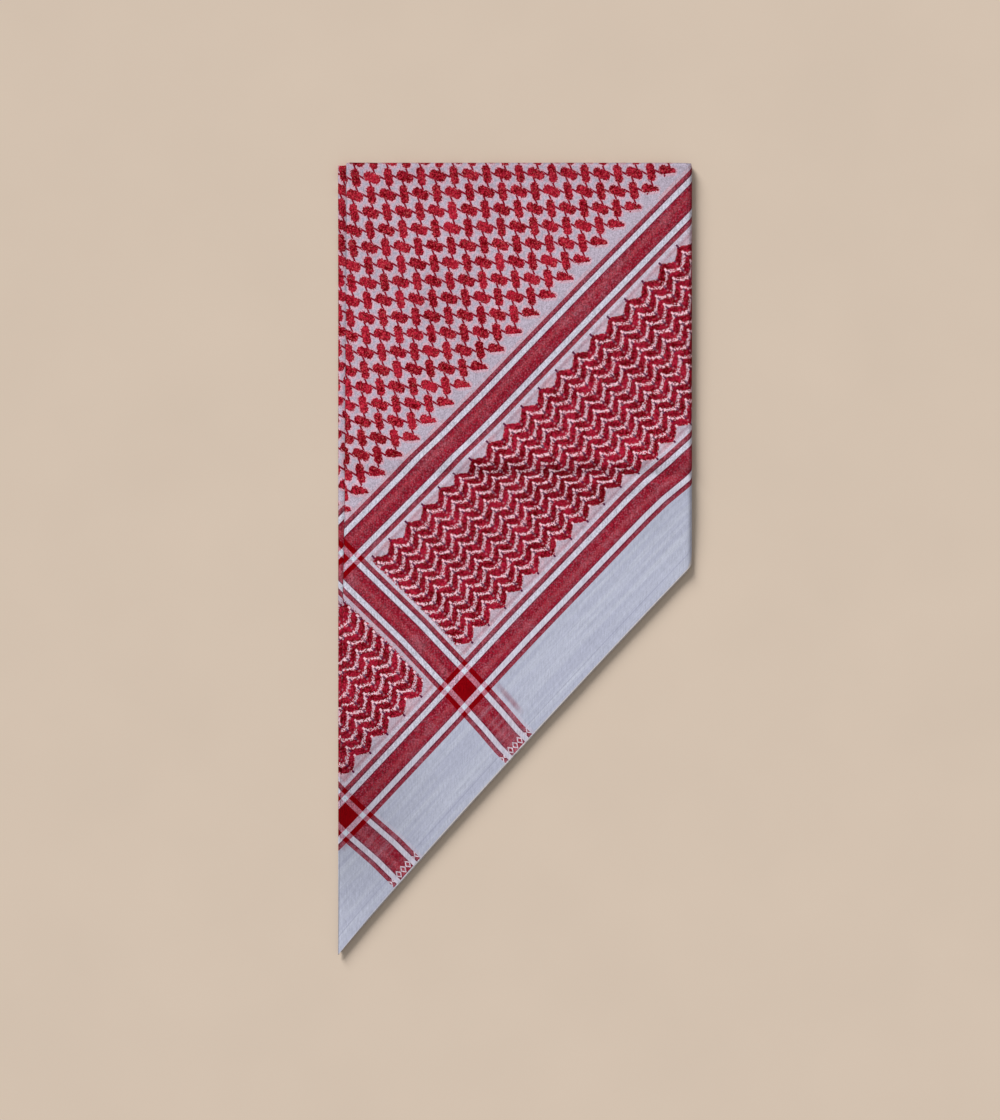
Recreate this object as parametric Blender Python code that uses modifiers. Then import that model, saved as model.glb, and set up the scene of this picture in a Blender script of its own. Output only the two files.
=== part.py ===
"""Keffiyeh headscarf, folded and lying flat.

One woven square is folded on its diagonal, then through its middle, and its far corner is turned
behind. That leaves a slim pile: a long fold on the left, a fold along the top, a fold on the right,
and four hems that lie on each other along the slanting foot.

The front layer is a cloth wall that rolls round the folds. The fold of the back pair shows beside
it on the left, and the next layer's hem shows along the slant. The layers inside share one solid
with stepped edges, and the corner that is turned behind lies under them.

Metres, +Z up. The pile lies on z = 0 with the origin under the middle of its outline. +Y runs from
the pointed foot to the top fold, and +X from the long fold to the right-hand fold.
"""

from collections import namedtuple
import math

import bmesh
import bpy

# Driving dimensions.
PILE_WIDTH = 0.4425       # long fold to right-hand fold
PILE_LENGTH = 0.990       # foot to top fold, half the square's diagonal on the stretch
CORNER_RISE = 0.485       # right-hand end of the hem above the foot
WING_RISE = 0.409         # hem of the turned-back corner, from the right-hand fold to the left
HEM_BOW = 0.004           # how far the hem sags into the cloth at its middle
LAYER = 0.0012            # cloth wall
GAP = 0.0003              # clearance between pieces
NEST = 0.0008             # clearance between curved faces, whose facets differ
FOUR_LAYERS = 0.0066      # pile of four layers
WING_HEIGHT = 0.0047      # the four layers turned behind
FRONT_PAIR = 0.0030       # height of the front pair's rolled fold
HEM_PEEP = 0.0016         # next layer's hem beyond the front one
HEM_PEEP_START = 0.040    # width over which that hem comes out from the foot
HEM_STRIP = 0.0045        # width of that hem as a piece
UNDER_FOLD_REACH = 0.014  # back pair's fold under the front pair's
UNDER_FOLD_START = 0.007  # its lower end above the foot
UNDER_FOLD_CLEAR = 0.0012 # its clearance inside the hem, across
WING_EDGE = 0.26          # the wing's height at its hems, as a share of its full height
STAGGER = 0.060           # width over which the wing's four hems step up to that height
DRAPE = 0.030             # how far past those hems the pile's face still falls
TUCK = 0.044              # how far past them the inner layers come down to the floor
TUCK_SLOPE = 0.022        # length of that last slope

# Rolled edges of the front layer: how far each reaches out from the flat face.
ROLL_LEFT = 0.0016
ROLL_TOP = 0.0033
ROLL_RIGHT = 0.0056
ROLL_STEPS = 6
CORNER_SOFTNESS = 0.8     # a folded corner's reach, as a share of a sharp one's
CORNER_BLEND = 0.040      # length over which one roll's height turns into the next
HEM_SWING = 0.060         # length over which the hem's climb round the right-hand fold dies out

# Crease that a packing fold left across the pile: a trough with a ridge above it.
CREASE_Y = 0.105
Crease = namedtuple("Crease", "offset height")
CREASE_PROFILE = (
    Crease(-0.026, 0.0000),
    Crease(-0.010, 0.0004),
    Crease(0.000, -0.0018),
    Crease(0.009, 0.0002),
    Crease(0.020, 0.0013),
    Crease(0.038, 0.0000),
)
Strength = namedtuple("Strength", "x share")
CREASE_STRENGTH = (
    Strength(-0.221, 0.25),
    Strength(-0.100, 0.45),
    Strength(-0.020, 1.00),
    Strength(0.150, 1.00),
    Strength(0.221, 0.70),
)

# Back pair's fold beyond the front pair's, by height above the foot.
Peep = namedtuple("Peep", "rise width")
UNDER_FOLD_PEEP = (
    Peep(0.000, 0.0000),
    Peep(0.200, 0.0025),
    Peep(0.462, 0.0062),
    Peep(0.569, 0.0081),
    Peep(0.744, 0.0090),
    Peep(0.881, 0.0100),
    Peep(0.990, 0.0104),
)

# Stepped edges, from the top face down. A step lies drop below that face, and then the given share
# of the way to the underside. left and hem are how far it stands in from the outline.
Step = namedtuple("Step", "drop share left hem")
INNER_STEPS = (
    Step(0.0000, 0.00, 0.0030, 0.0068),
    Step(0.0003, 0.00, 0.0024, 0.0062),
    Step(0.0009, 0.00, 0.0024, 0.0062),
    Step(0.0010, 0.00, 0.0147, 0.0030),
    Step(0.0010, 0.14, 0.0145, 0.0017),
    Step(0.0010, 0.36, 0.0145, 0.0024),
    Step(0.0010, 0.46, 0.0145, 0.0040),
    Step(0.0010, 0.56, 0.0145, 0.0026),
    Step(0.0010, 0.88, 0.0145, 0.0020),
    Step(0.0010, 1.00, 0.0150, 0.0034),
)
WING_STEPS = (
    Step(0.0, 0.00, 0.0026, 0.0030),
    Step(0.0, 0.12, 0.0014, 0.0012),
    Step(0.0, 0.25, 0.0010, 0.0026),
    Step(0.0, 0.38, 0.0009, 0.0010),
    Step(0.0, 0.50, 0.0008, 0.0024),
    Step(0.0, 0.62, 0.0009, 0.0008),
    Step(0.0, 0.75, 0.0010, 0.0022),
    Step(0.0, 0.88, 0.0014, 0.0010),
    Step(0.0, 1.00, 0.0026, 0.0028),
)
WING_TOP_INSET = 0.0014   # the wing's upper fold behind the front layer's
CORNER_TRIM = 0.0040      # how far the inner layers' upper corners are rounded off

# Facets.
COLUMNS = 26
HEM_ROWS = 17             # rows from the hem to the crease
HEAD_ROWS = 17            # rows from the crease to the top fold
WING_COLUMNS = 20
WING_HEM_ROWS = 6         # rows over the staggered hems
WING_HEM_ROW = 0.014      # their greatest spacing
WING_HEAD_ROWS = 5
UNDER_FOLD_STATIONS = 58
HEM_STATIONS = 34

SETTLING = 6              # passes that place a grid point between edges that depend on it

HALF_WIDTH = PILE_WIDTH / 2
HEAD = PILE_LENGTH / 2
FOOT = -PILE_LENGTH / 2
HEM_SLOPE = CORNER_RISE / PILE_WIDTH
WING_SLOPE = WING_RISE / PILE_WIDTH
HEM_STEEPNESS = math.hypot(1.0, HEM_SLOPE)
WING_STEEPNESS = math.hypot(1.0, WING_SLOPE)
WING_LIFT = WING_HEIGHT + NEST

RED = (0.42, 0.02, 0.03, 1.0)
WHITE = (0.72, 0.72, 0.78, 1.0)
PINK = (0.60, 0.26, 0.30, 1.0)


def clear_scene():
    """Remove every object that the file opened with."""
    for thing in list(bpy.data.objects):
        bpy.data.objects.remove(thing, do_unlink=True)


def smooth(share):
    """Ease from 0 to 1 as share goes from 0 to 1."""
    share = min(max(share, 0.0), 1.0)
    return share * share * (3.0 - 2.0 * share)


def mix(start, end, share):
    """Point between start and end."""
    return start + (end - start) * share


def look_up(table, value):
    """Second column of a two-column table at value, straight between its rows."""
    if value <= table[0][0]:
        return table[0][1]
    for low, high in zip(table, table[1:]):
        if value <= high[0]:
            return mix(low[1], high[1], (value - low[0]) / (high[0] - low[0]))
    return table[-1][1]


def hem_y(x, inset=0.0):
    """Height of the slanting hem at x, moved into the cloth by inset."""
    along = (x + HALF_WIDTH) / PILE_WIDTH
    bow = 4.0 * HEM_BOW * along * (1.0 - along)
    return FOOT + HEM_SLOPE * (x + HALF_WIDTH) + (bow + inset) * HEM_STEEPNESS


def front_hem_y(x, inset=0.0):
    """Hem of the front layer, which draws back from the next layer's away from the foot."""
    peep = HEM_PEEP * min((x + HALF_WIDTH) / HEM_PEEP_START, 1.0)
    return hem_y(x, inset + peep)


def wing_hem_y(x, inset=0.0):
    """Height of the hem of the turned-back corner at x."""
    return FOOT + CORNER_RISE + WING_SLOPE * (HALF_WIDTH - x) + inset * WING_STEEPNESS


def wing_cover(x, y):
    """How far (x, y) lies inside the hem of the turned-back corner."""
    return (y - wing_hem_y(x)) / WING_STEEPNESS


def crease_height(x, y):
    """Rise or fall of the pile's face at the packing crease."""
    return look_up(CREASE_PROFILE, y - CREASE_Y) * look_up(CREASE_STRENGTH, x)


def wing_top(x, y):
    """Height of the turned-back corner, which steps up from its hems."""
    return WING_HEIGHT * mix(WING_EDGE, 1.0, smooth(wing_cover(x, y) / STAGGER))


def pile_top(x, y):
    """Height of the front layer's face."""
    lift = WING_LIFT * smooth((wing_cover(x, y) + DRAPE) / (DRAPE + STAGGER))
    return FOUR_LAYERS + lift + crease_height(x, y)


def inner_top(x, y):
    """Height of the inner layers' face, under the front layer's wall."""
    return pile_top(x, y) - LAYER - NEST


def inner_floor(x, y):
    """Underside of the inner layers: on the wing where it reaches, else on the floor."""
    return (wing_top(x, y) + NEST) * smooth((wing_cover(x, y) + TUCK) / TUCK_SLOPE)


def peep(y):
    """Width of the back pair's fold that shows beside the front pair's."""
    return look_up(UNDER_FOLD_PEEP, y - FOOT)


def pile_rows(low, head):
    """Heights of the grid's rows between the hem and the top fold, close together at the crease."""
    start = CREASE_Y + CREASE_PROFILE[0].offset
    end = CREASE_Y + CREASE_PROFILE[-1].offset
    rows = [mix(low, start, row / HEM_ROWS) for row in range(HEM_ROWS)]
    rows += [CREASE_Y + crease.offset for crease in CREASE_PROFILE]
    rows += [mix(end, head, (row + 1) / HEAD_ROWS) for row in range(HEAD_ROWS)]
    return rows


def wing_rows(low, head):
    """Heights of the turned-back corner's rows, close together over its hems."""
    step = min(WING_HEM_ROW, (head - low) / (WING_HEM_ROWS + WING_HEAD_ROWS))
    rows = [low + step * row for row in range(WING_HEM_ROWS)]
    start = low + step * WING_HEM_ROWS
    return rows + [mix(start, head, row / WING_HEAD_ROWS) for row in range(WING_HEAD_ROWS + 1)]


def lay_grid(columns, left, right, low, head, rows, trim=0.0):
    """Plan points of a grid, with its upper corners drawn in by trim.

    left and right are functions of y, and low and head are functions of x.
    """
    grid = []
    for column in range(columns + 1):
        across = column / columns
        line = []
        for row in range(len(rows(0.0, 1.0))):
            x = mix(left(0.0), right(0.0), across)
            for _ in range(SETTLING):
                y = rows(low(x), head(x))[row]
                x = mix(left(y), right(y), across)
            line.append((x, y))
        grid.append(line)
    for line, side in ((grid[0], 1.0), (grid[-1], -1.0)):
        x, y = line[-1]
        line[-1] = (x + side * trim, y - trim)
    return grid


def border(grid):
    """Outer points of a grid, anticlockwise from its lower left corner."""
    last = len(grid) - 1
    top = len(grid[0]) - 1
    loop = [grid[column][0] for column in range(last)]
    loop += [grid[last][row] for row in range(top)]
    loop += [grid[column][top] for column in range(last, 0, -1)]
    loop += [grid[0][row] for row in range(top, 0, -1)]
    return loop


def grid_faces(mesh, grid, upward):
    """Quads over a grid of vertices, facing up or down."""
    for column in range(len(grid) - 1):
        for row in range(len(grid[0]) - 1):
            corners = [grid[column][row], grid[column + 1][row],
                       grid[column + 1][row + 1], grid[column][row + 1]]
            mesh.faces.new(corners if upward else corners[::-1])


def band_faces(mesh, upper, lower, closed):
    """Quads between two rows of vertices that run anticlockwise, facing out."""
    count = len(upper)
    for start in range(count if closed else count - 1):
        end = (start + 1) % count
        mesh.faces.new((lower[start], lower[end], upper[end], upper[start]))


def cloth(name, colour):
    """Woven cotton of one colour."""
    material = bpy.data.materials.new(name)
    material.use_nodes = True
    shader = material.node_tree.nodes["Principled BSDF"]
    shader.inputs["Base Color"].default_value = colour
    shader.inputs["Roughness"].default_value = 0.85
    shader.inputs["Metallic"].default_value = 0.0
    return material


def finish(mesh, name, colour, collection):
    """Turn a bmesh into a named object with its own cloth."""
    data = bpy.data.meshes.new(name)
    mesh.to_mesh(data)
    mesh.free()
    data.shade_smooth()
    data.set_sharp_from_angle(angle=math.radians(50.0))
    data.materials.append(cloth(name + "_cotton", colour))
    thing = bpy.data.objects.new(name, data)
    collection.objects.link(thing)
    return thing


def step_height(step, top, floor, x, y):
    """Height of a step at (x, y) between the faces top and floor."""
    return mix(top(x, y) - step.drop, floor(x, y), step.share)


def stepped_solid(name, grid, steps, top, floor, colour, collection):
    """Closed solid between two faces, whose edge goes in and out at each step of its plan."""
    mesh = bmesh.new()
    first = grid(steps[0])
    last = grid(steps[-1])
    upper = [[mesh.verts.new((x, y, top(x, y))) for x, y in line] for line in first]
    lower = [[mesh.verts.new((x, y, floor(x, y))) for x, y in line] for line in last]
    rings = [border(upper)]
    for step in steps[1:-1]:
        rings.append([mesh.verts.new((x, y, step_height(step, top, floor, x, y)))
                      for x, y in border(grid(step))])
    rings.append(border(lower))
    grid_faces(mesh, upper, upward=True)
    grid_faces(mesh, lower, upward=False)
    for above, below in zip(rings, rings[1:]):
        band_faces(mesh, above, below, closed=True)
    return finish(mesh, name, colour, collection)


def roll_inset(roll, radius, height):
    """How far a layer stands in from a roll's outer edge, to nest in the roll's upper part.

    roll is the roll's reach, radius half its height, and height is measured from its middle.
    """
    room = 1.0 - (height / (radius - LAYER - GAP)) ** 2
    if room <= 0.0 or height < -NEST:
        return roll + NEST
    return roll - (roll - LAYER - NEST) * math.sqrt(room)


def roll_heights(point, side):
    """Height of the front layer's rolled edge at a point on the given side."""
    x, y = point
    whole = pile_top(x, y)
    if side in ("left", "foot"):
        return FRONT_PAIR
    if side == "right":
        return whole
    from_left = smooth((x + HALF_WIDTH - peep(y) - ROLL_LEFT) / CORNER_BLEND)
    from_right = smooth((HALF_WIDTH - x) / CORNER_BLEND)
    return mix(whole, mix(FRONT_PAIR, FOUR_LAYERS, from_left), from_right)


def roll_path(point, side, low_end):
    """Points that carry one edge point of the front layer round its fold, outermost half way."""
    x, y = point
    height = roll_heights(point, side)
    reach = {
        "left": (-ROLL_LEFT, 0.0),
        "top left": (-ROLL_LEFT * CORNER_SOFTNESS, ROLL_TOP * CORNER_SOFTNESS),
        "top": (0.0, ROLL_TOP),
        "top right": (ROLL_RIGHT * CORNER_SOFTNESS, ROLL_TOP * CORNER_SOFTNESS),
        "right": (ROLL_RIGHT, 0.0),
        "foot": (-ROLL_LEFT, -ROLL_LEFT * HEM_SLOPE),
    }[side]
    climb = 0.0
    if side == "right":
        climb = HEM_SLOPE * max(0.0, 1.0 - (y - low_end) / HEM_SWING)
    path = []
    for step in range(1, ROLL_STEPS + 1):
        turn = math.pi * step / ROLL_STEPS
        out = math.sin(turn)
        swing = climb * ROLL_RIGHT * turn
        path.append((x + reach[0] * out, y + reach[1] * out + swing,
                     pile_top(x, y) - height * (1.0 - math.cos(turn)) / 2.0))
    return path


def front_layer(collection):
    """The face of the scarf: a cloth wall that rolls round the left, top and right folds."""
    plan = lay_grid(COLUMNS, lambda y: -HALF_WIDTH + peep(y) + ROLL_LEFT,
                    lambda y: HALF_WIDTH - ROLL_RIGHT, front_hem_y, lambda x: HEAD - ROLL_TOP,
                    pile_rows)
    mesh = bmesh.new()
    face = [[mesh.verts.new((x, y, pile_top(x, y))) for x, y in line] for line in plan]
    grid_faces(mesh, face, upward=True)
    last = len(plan) - 1
    top = len(plan[0]) - 1
    edge = [(last, row, "right") for row in range(top)]
    edge.append((last, top, "top right"))
    edge += [(column, top, "top") for column in range(last - 1, 0, -1)]
    edge.append((0, top, "top left"))
    edge += [(0, row, "left") for row in range(top - 1, 0, -1)]
    edge.append((0, 0, "foot"))
    low_end = plan[last][0][1]
    paths = [roll_path(plan[column][row], side, low_end) for column, row, side in edge]
    rings = [[face[column][row] for column, row, _ in edge]]
    for step in range(ROLL_STEPS):
        rings.append([mesh.verts.new(path[step]) for path in paths])
    for above, below in zip(rings, rings[1:]):
        band_faces(mesh, above, below, closed=False)
    thing = finish(mesh, "front_layer", RED, collection)
    wall = thing.modifiers.new("cloth wall", "SOLIDIFY")
    wall.thickness = LAYER
    wall.offset = -1.0
    return thing


def inner_layers(collection):
    """The layers inside the pile, as one solid whose edge steps in and out."""
    def plan(step):
        middle = FOUR_LAYERS / 2
        height = mix(FOUR_LAYERS - LAYER - NEST - step.drop, 0.0, step.share)
        top_inset = roll_inset(ROLL_TOP, middle, height - middle)

        def head(x):
            from_corner = smooth((x + HALF_WIDTH - CORNER_TRIM) / CORNER_BLEND)
            return HEAD - mix(ROLL_TOP + NEST, top_inset, from_corner)

        def right(y):
            edge = HALF_WIDTH - ROLL_RIGHT
            half = pile_top(edge, y) / 2
            height = step_height(step, inner_top, inner_floor, edge, y)
            return HALF_WIDTH - roll_inset(ROLL_RIGHT, half, height - half)

        return lay_grid(COLUMNS, lambda y: -HALF_WIDTH + peep(y) + step.left, right,
                        lambda x: hem_y(x, step.hem), head, pile_rows, CORNER_TRIM)

    return stepped_solid("inner_layers", plan, INNER_STEPS, inner_top, inner_floor, PINK, collection)


def folded_wing(collection):
    """The corner turned behind: four layers under the others, with four hems along its slant."""
    def plan(step):
        def head(x):
            behind_roll = smooth((x - HALF_WIDTH + 2.0 * CORNER_BLEND) / CORNER_BLEND)
            return HEAD - step.left - mix(WING_TOP_INSET, ROLL_TOP, behind_roll)

        return lay_grid(WING_COLUMNS, lambda y: -HALF_WIDTH + step.left,
                        lambda y: HALF_WIDTH - ROLL_RIGHT - NEST,
                        lambda x: wing_hem_y(x, step.hem), head, wing_rows, CORNER_TRIM)

    return stepped_solid("folded_wing", plan, WING_STEPS, wing_top, lambda x, y: 0.0, PINK,
                         collection)


def rounded_bar(stations, name, colour, collection):
    """Closed bar through cross-sections that all have the same number of points."""
    mesh = bmesh.new()
    rings = [[mesh.verts.new(point) for point in station] for station in stations]
    for near, far in zip(rings, rings[1:]):
        band_faces(mesh, far, near, closed=True)
    mesh.faces.new(rings[0][::-1])
    mesh.faces.new(rings[-1])
    bmesh.ops.triangulate(mesh, faces=[face for face in mesh.faces if len(face.verts) > 4])
    bmesh.ops.recalc_face_normals(mesh, faces=mesh.faces)
    return finish(mesh, name, colour, collection)


def left_under_fold(collection):
    """The back pair's fold, which shows beside the front pair's and rolls down to what is under."""
    stations = []
    foot_end = FOOT + UNDER_FOLD_START
    head_end = HEAD - ROLL_TOP - GAP
    for station in range(UNDER_FOLD_STATIONS + 1):
        y = mix(foot_end, head_end, station / UNDER_FOLD_STATIONS)
        hem_x = -HALF_WIDTH + (y - FOOT) / HEM_SLOPE - UNDER_FOLD_CLEAR
        left = -HALF_WIDTH
        right = min(left + peep(y) + UNDER_FOLD_REACH, hem_x)
        floor = inner_floor(left, y)
        top = pile_top(left, y) - FRONT_PAIR - 2.0 * GAP
        radius = min((top - floor) / 2.0, (right - left) * 0.8)
        section = [(right, y, inner_floor(right, y)),
                   (right, y, pile_top(right, y) - FRONT_PAIR - 2.0 * GAP)]
        for step in range(ROLL_STEPS + 1):
            turn = math.pi * step / ROLL_STEPS
            section.append((left + radius - radius * math.sin(turn), y,
                            mix(floor, top, (1.0 + math.cos(turn)) / 2.0)))
        stations.append(section)
    return rounded_bar(stations, "left_under_fold", RED, collection)


def second_hem(collection):
    """The next layer's hem, which shows as a thin edge along the slant."""
    stations = []
    start = -HALF_WIDTH + ROLL_LEFT + 2.0 * GAP
    end = HALF_WIDTH - ROLL_RIGHT - GAP
    for station in range(HEM_STATIONS + 1):
        x = mix(start, end, station / HEM_STATIONS)
        lower = hem_y(x)
        upper = hem_y(x, HEM_STRIP)
        section = []
        for y, edge in ((lower, "outer"), (upper, "inner")):
            top = pile_top(x, y) - LAYER - GAP
            heights = (top - LAYER, top - LAYER * 0.65, top - LAYER * 0.35, top)
            insets = (0.0004, 0.0, 0.0, 0.0004) if edge == "outer" else (0.0, 0.0, 0.0, 0.0)
            points = [(x, y + inset, height) for inset, height in zip(insets, heights)]
            section += points if edge == "outer" else points[::-1]
        stations.append(section)
    return rounded_bar(stations, "second_hem", WHITE, collection)


def main():
    """Build the folded headscarf."""
    clear_scene()
    collection = bpy.data.collections.new("keffiyeh_headscarf")
    bpy.context.scene.collection.children.link(collection)
    front_layer(collection)
    left_under_fold(collection)
    second_hem(collection)
    inner_layers(collection)
    folded_wing(collection)


main()
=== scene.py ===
"""Looks of a red and white keffiyeh headscarf that lies folded flat.

The front cloth, the back pair's fold beside it, the next layer's hem, the inner layers and the
corner turned behind are thin sheets of one woven square. Every point of them knows its place on
that square, so the bands, the field of figures and the herringbone border run on round the folds.
"""

from collections import Counter, namedtuple
from functools import partial
import math

import bpy
from bpy.props import FloatProperty, FloatVectorProperty, PointerProperty
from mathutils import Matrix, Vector, noise


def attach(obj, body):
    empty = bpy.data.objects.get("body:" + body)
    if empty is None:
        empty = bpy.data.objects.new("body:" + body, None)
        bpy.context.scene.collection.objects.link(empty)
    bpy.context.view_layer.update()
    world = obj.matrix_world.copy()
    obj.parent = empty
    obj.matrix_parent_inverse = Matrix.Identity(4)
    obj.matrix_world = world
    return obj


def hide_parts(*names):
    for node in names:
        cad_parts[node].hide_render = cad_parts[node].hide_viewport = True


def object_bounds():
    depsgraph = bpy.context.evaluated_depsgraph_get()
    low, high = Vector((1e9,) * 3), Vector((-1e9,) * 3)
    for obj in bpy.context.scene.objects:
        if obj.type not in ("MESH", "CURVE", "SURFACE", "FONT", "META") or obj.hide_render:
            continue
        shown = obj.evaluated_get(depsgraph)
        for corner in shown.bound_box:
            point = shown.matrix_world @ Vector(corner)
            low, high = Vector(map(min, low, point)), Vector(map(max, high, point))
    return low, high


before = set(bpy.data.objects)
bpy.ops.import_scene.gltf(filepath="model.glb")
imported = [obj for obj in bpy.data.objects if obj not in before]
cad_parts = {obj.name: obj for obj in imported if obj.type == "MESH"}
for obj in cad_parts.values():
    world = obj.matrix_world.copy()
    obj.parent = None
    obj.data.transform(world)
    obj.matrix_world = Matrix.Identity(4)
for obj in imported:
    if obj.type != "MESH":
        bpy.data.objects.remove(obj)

bl_info = {
    "name": "Folded keffiyeh",
    "version": (1, 0, 0),
    "blender": (4, 5, 0),
    "location": "3D View > Sidebar > Keffiyeh",
    "description": "Builds the cloth, weave and stage of a headscarf that lies folded flat",
    "category": "Object",
}

CAD_LOW, CAD_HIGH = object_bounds()

# ---------------------------------------------------------------------------------------------
# The pile's plan, in metres. The frame gives its width and its top fold.
PILE_WIDTH = CAD_HIGH.x - CAD_LOW.x
HALF_WIDTH = PILE_WIDTH / 2
HEAD = CAD_HIGH.y
PILE_LENGTH = 0.990       # foot to top fold
FOOT = HEAD - PILE_LENGTH
CORNER_RISE = 0.485       # right-hand end of the hem above the foot
WING_RISE = 0.409         # hem of the turned-back corner, from the right-hand fold to the left
HEM_BOW = 0.004           # how far the hem sags into the cloth at its middle
LAYER = 0.0012            # room that one layer takes
GAP = 0.0003              # clearance between pieces
NEST = 0.0008             # clearance between curved faces
FOUR_LAYERS = 0.0066      # height of four layers
WING_HEIGHT = 0.0047      # height of the corner turned behind
FRONT_PAIR = 0.0030       # height of the front pair's rolled fold
HEM_PEEP = 0.0016         # how far the next layer's hem comes out from the front one
HEM_PEEP_START = 0.040    # width over which it comes out from the foot
UNDER_FOLD_REACH = 0.014  # back pair's fold under the front pair's
UNDER_FOLD_START = 0.007  # its lower end above the foot
UNDER_FOLD_CLEAR = 0.0012 # its clearance inside the hem, across
WING_EDGE = 0.26          # the turned corner's height at its hems, as a share of its full height
STAGGER = 0.060           # width over which its four hems step up to that height
DRAPE = 0.030             # how far past those hems the pile's face still falls
TUCK = 0.044              # how far past them the inner layers come down to the floor
TUCK_SLOPE = 0.022        # length of that last slope
ROLL_LEFT = 0.0016        # reach of the roll at each of the three folds
ROLL_TOP = 0.0033
ROLL_RIGHT = 0.0056
CORNER_SOFTNESS = 0.8     # a folded corner's reach, as a share of a sharp one's
CORNER_BLEND = 0.040      # length over which one roll's height turns into the next
HEM_SWING = 0.060         # length over which the hem's climb round the right-hand fold dies out
WING_TOP_INSET = 0.0014   # the turned corner's upper fold behind the front layer's
CORNER_TRIM = 0.0040      # how far the inner layers' upper corners are rounded off
WING_LIFT = WING_HEIGHT + NEST
HEM_SLOPE = CORNER_RISE / PILE_WIDTH
WING_SLOPE = WING_RISE / PILE_WIDTH
HEM_STEEPNESS = math.hypot(1.0, HEM_SLOPE)
WING_STEEPNESS = math.hypot(1.0, WING_SLOPE)
SETTLING = 6              # passes that place a grid point between edges that depend on it
ROLL_STEPS = 8
FACE_COLUMNS = 118
FACE_ROWS = 270
INNER_COLUMNS = 60
INNER_ROWS = 130
WING_ROWS = 60
UNDER_FOLD_STATIONS = 240
UNDER_FOLD_TURNS = 10
HEM_STATIONS = 240
HEM_RIPPLE = 0.0003       # how far a hem wanders

# Stepped edges, from the top face down. A step lies drop below that face, and then the given share
# of the way to the underside. left and hem are how far it stands in from the outline, and wave is
# how far its hem wanders in.
Step = namedtuple("Step", "drop share left hem wave")
INNER_STEPS = (
    Step(0.0000, 0.00, 0.0030, 0.0150, 0.0), Step(0.0009, 0.00, 0.0024, 0.0144, 0.0),
    Step(0.0010, 0.00, 0.0147, 0.0034, 0.0), Step(0.0010, 0.08, 0.0145, 0.0016, 0.0003),
    Step(0.0010, 0.24, 0.0145, 0.0013, 0.0004), Step(0.0010, 0.34, 0.0145, 0.0022, 0.0002),
    Step(0.0010, 0.39, 0.0145, 0.0044, 0.0), Step(0.0010, 0.45, 0.0145, 0.0022, 0.0002),
    Step(0.0010, 0.54, 0.0145, 0.0016, 0.0005), Step(0.0010, 0.66, 0.0145, 0.0018, 0.0005),
    Step(0.0010, 0.72, 0.0145, 0.0040, 0.0), Step(0.0010, 0.78, 0.0145, 0.0018, 0.0004),
    Step(0.0010, 0.93, 0.0145, 0.0018, 0.0005), Step(0.0010, 1.00, 0.0150, 0.0030, 0.0),
)
WING_STEPS = (
    Step(0.0, 0.00, 0.0026, 0.0030, 0.0), Step(0.0, 0.12, 0.0014, 0.0012, 0.0004),
    Step(0.0, 0.25, 0.0010, 0.0026, 0.0002), Step(0.0, 0.38, 0.0009, 0.0010, 0.0005),
    Step(0.0, 0.50, 0.0008, 0.0024, 0.0002), Step(0.0, 0.62, 0.0009, 0.0008, 0.0006),
    Step(0.0, 0.75, 0.0010, 0.0022, 0.0002), Step(0.0, 0.88, 0.0014, 0.0010, 0.0004),
    Step(0.0, 1.00, 0.0026, 0.0028, 0.0),
)

# Section of the next layer's hem: in from its edge, and up from its face.
HemPoint = namedtuple("HemPoint", "inset height")
HEM_SECTION = (
    HemPoint(0.0130, -0.0009), HemPoint(0.0130, 0.0), HemPoint(0.0080, 0.0), HemPoint(0.0030, 0.0),
    HemPoint(0.0012, 0.0001), HemPoint(0.0003, -0.0001), HemPoint(0.0000, -0.0005),
    HemPoint(0.0004, -0.0009), HemPoint(0.0030, -0.0010), HemPoint(0.0080, -0.0009),
)

# Back pair's fold beyond the front pair's, by height above the foot.
Peep = namedtuple("Peep", "rise width")
UNDER_FOLD_PEEP = (
    Peep(0.000, 0.0000), Peep(0.200, 0.0025), Peep(0.462, 0.0062), Peep(0.569, 0.0081),
    Peep(0.744, 0.0090), Peep(0.881, 0.0100), Peep(0.990, 0.0104),
)

# The packing crease: its section, and how strong it is along its length.
CREASE_Y = 0.105
Crease = namedtuple("Crease", "offset height")
CREASE_PROFILE = (
    Crease(-0.026, 0.0000), Crease(-0.010, 0.0004), Crease(0.000, -0.0018), Crease(0.009, 0.0002),
    Crease(0.020, 0.0013), Crease(0.038, 0.0000),
)
Strength = namedtuple("Strength", "x share")
CREASE_STRENGTH = (
    Strength(-0.221, 0.25), Strength(-0.100, 0.45), Strength(-0.020, 1.00), Strength(0.150, 1.00),
    Strength(0.221, 0.70),
)

# Soft creases of the face: a line from start to end, its width and its height.
Fold = namedtuple("Fold", "start end width height")
SOFT_FOLDS = (
    Fold((-0.050, 0.458), (-0.138, 0.300), 0.016, 0.0005),
    Fold((0.012, 0.470), (-0.060, 0.330), 0.014, -0.0004),
    Fold((-0.190, 0.420), (-0.165, 0.250), 0.015, 0.0004),
    Fold((0.060, 0.300), (0.170, 0.205), 0.014, 0.0004),
    Fold((0.110, 0.330), (0.205, 0.250), 0.012, -0.0003),
    Fold((-0.080, 0.020), (0.020, -0.085), 0.018, 0.0003),
    Fold((-0.200, -0.060), (-0.120, -0.150), 0.016, -0.0004),
    Fold((-0.200, -0.240), (-0.150, -0.300), 0.014, -0.0005),
    Fold((0.090, -0.020), (0.200, 0.075), 0.012, 0.0003),
    Fold((-0.030, -0.150), (0.080, -0.045), 0.010, 0.0003),
)

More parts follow.
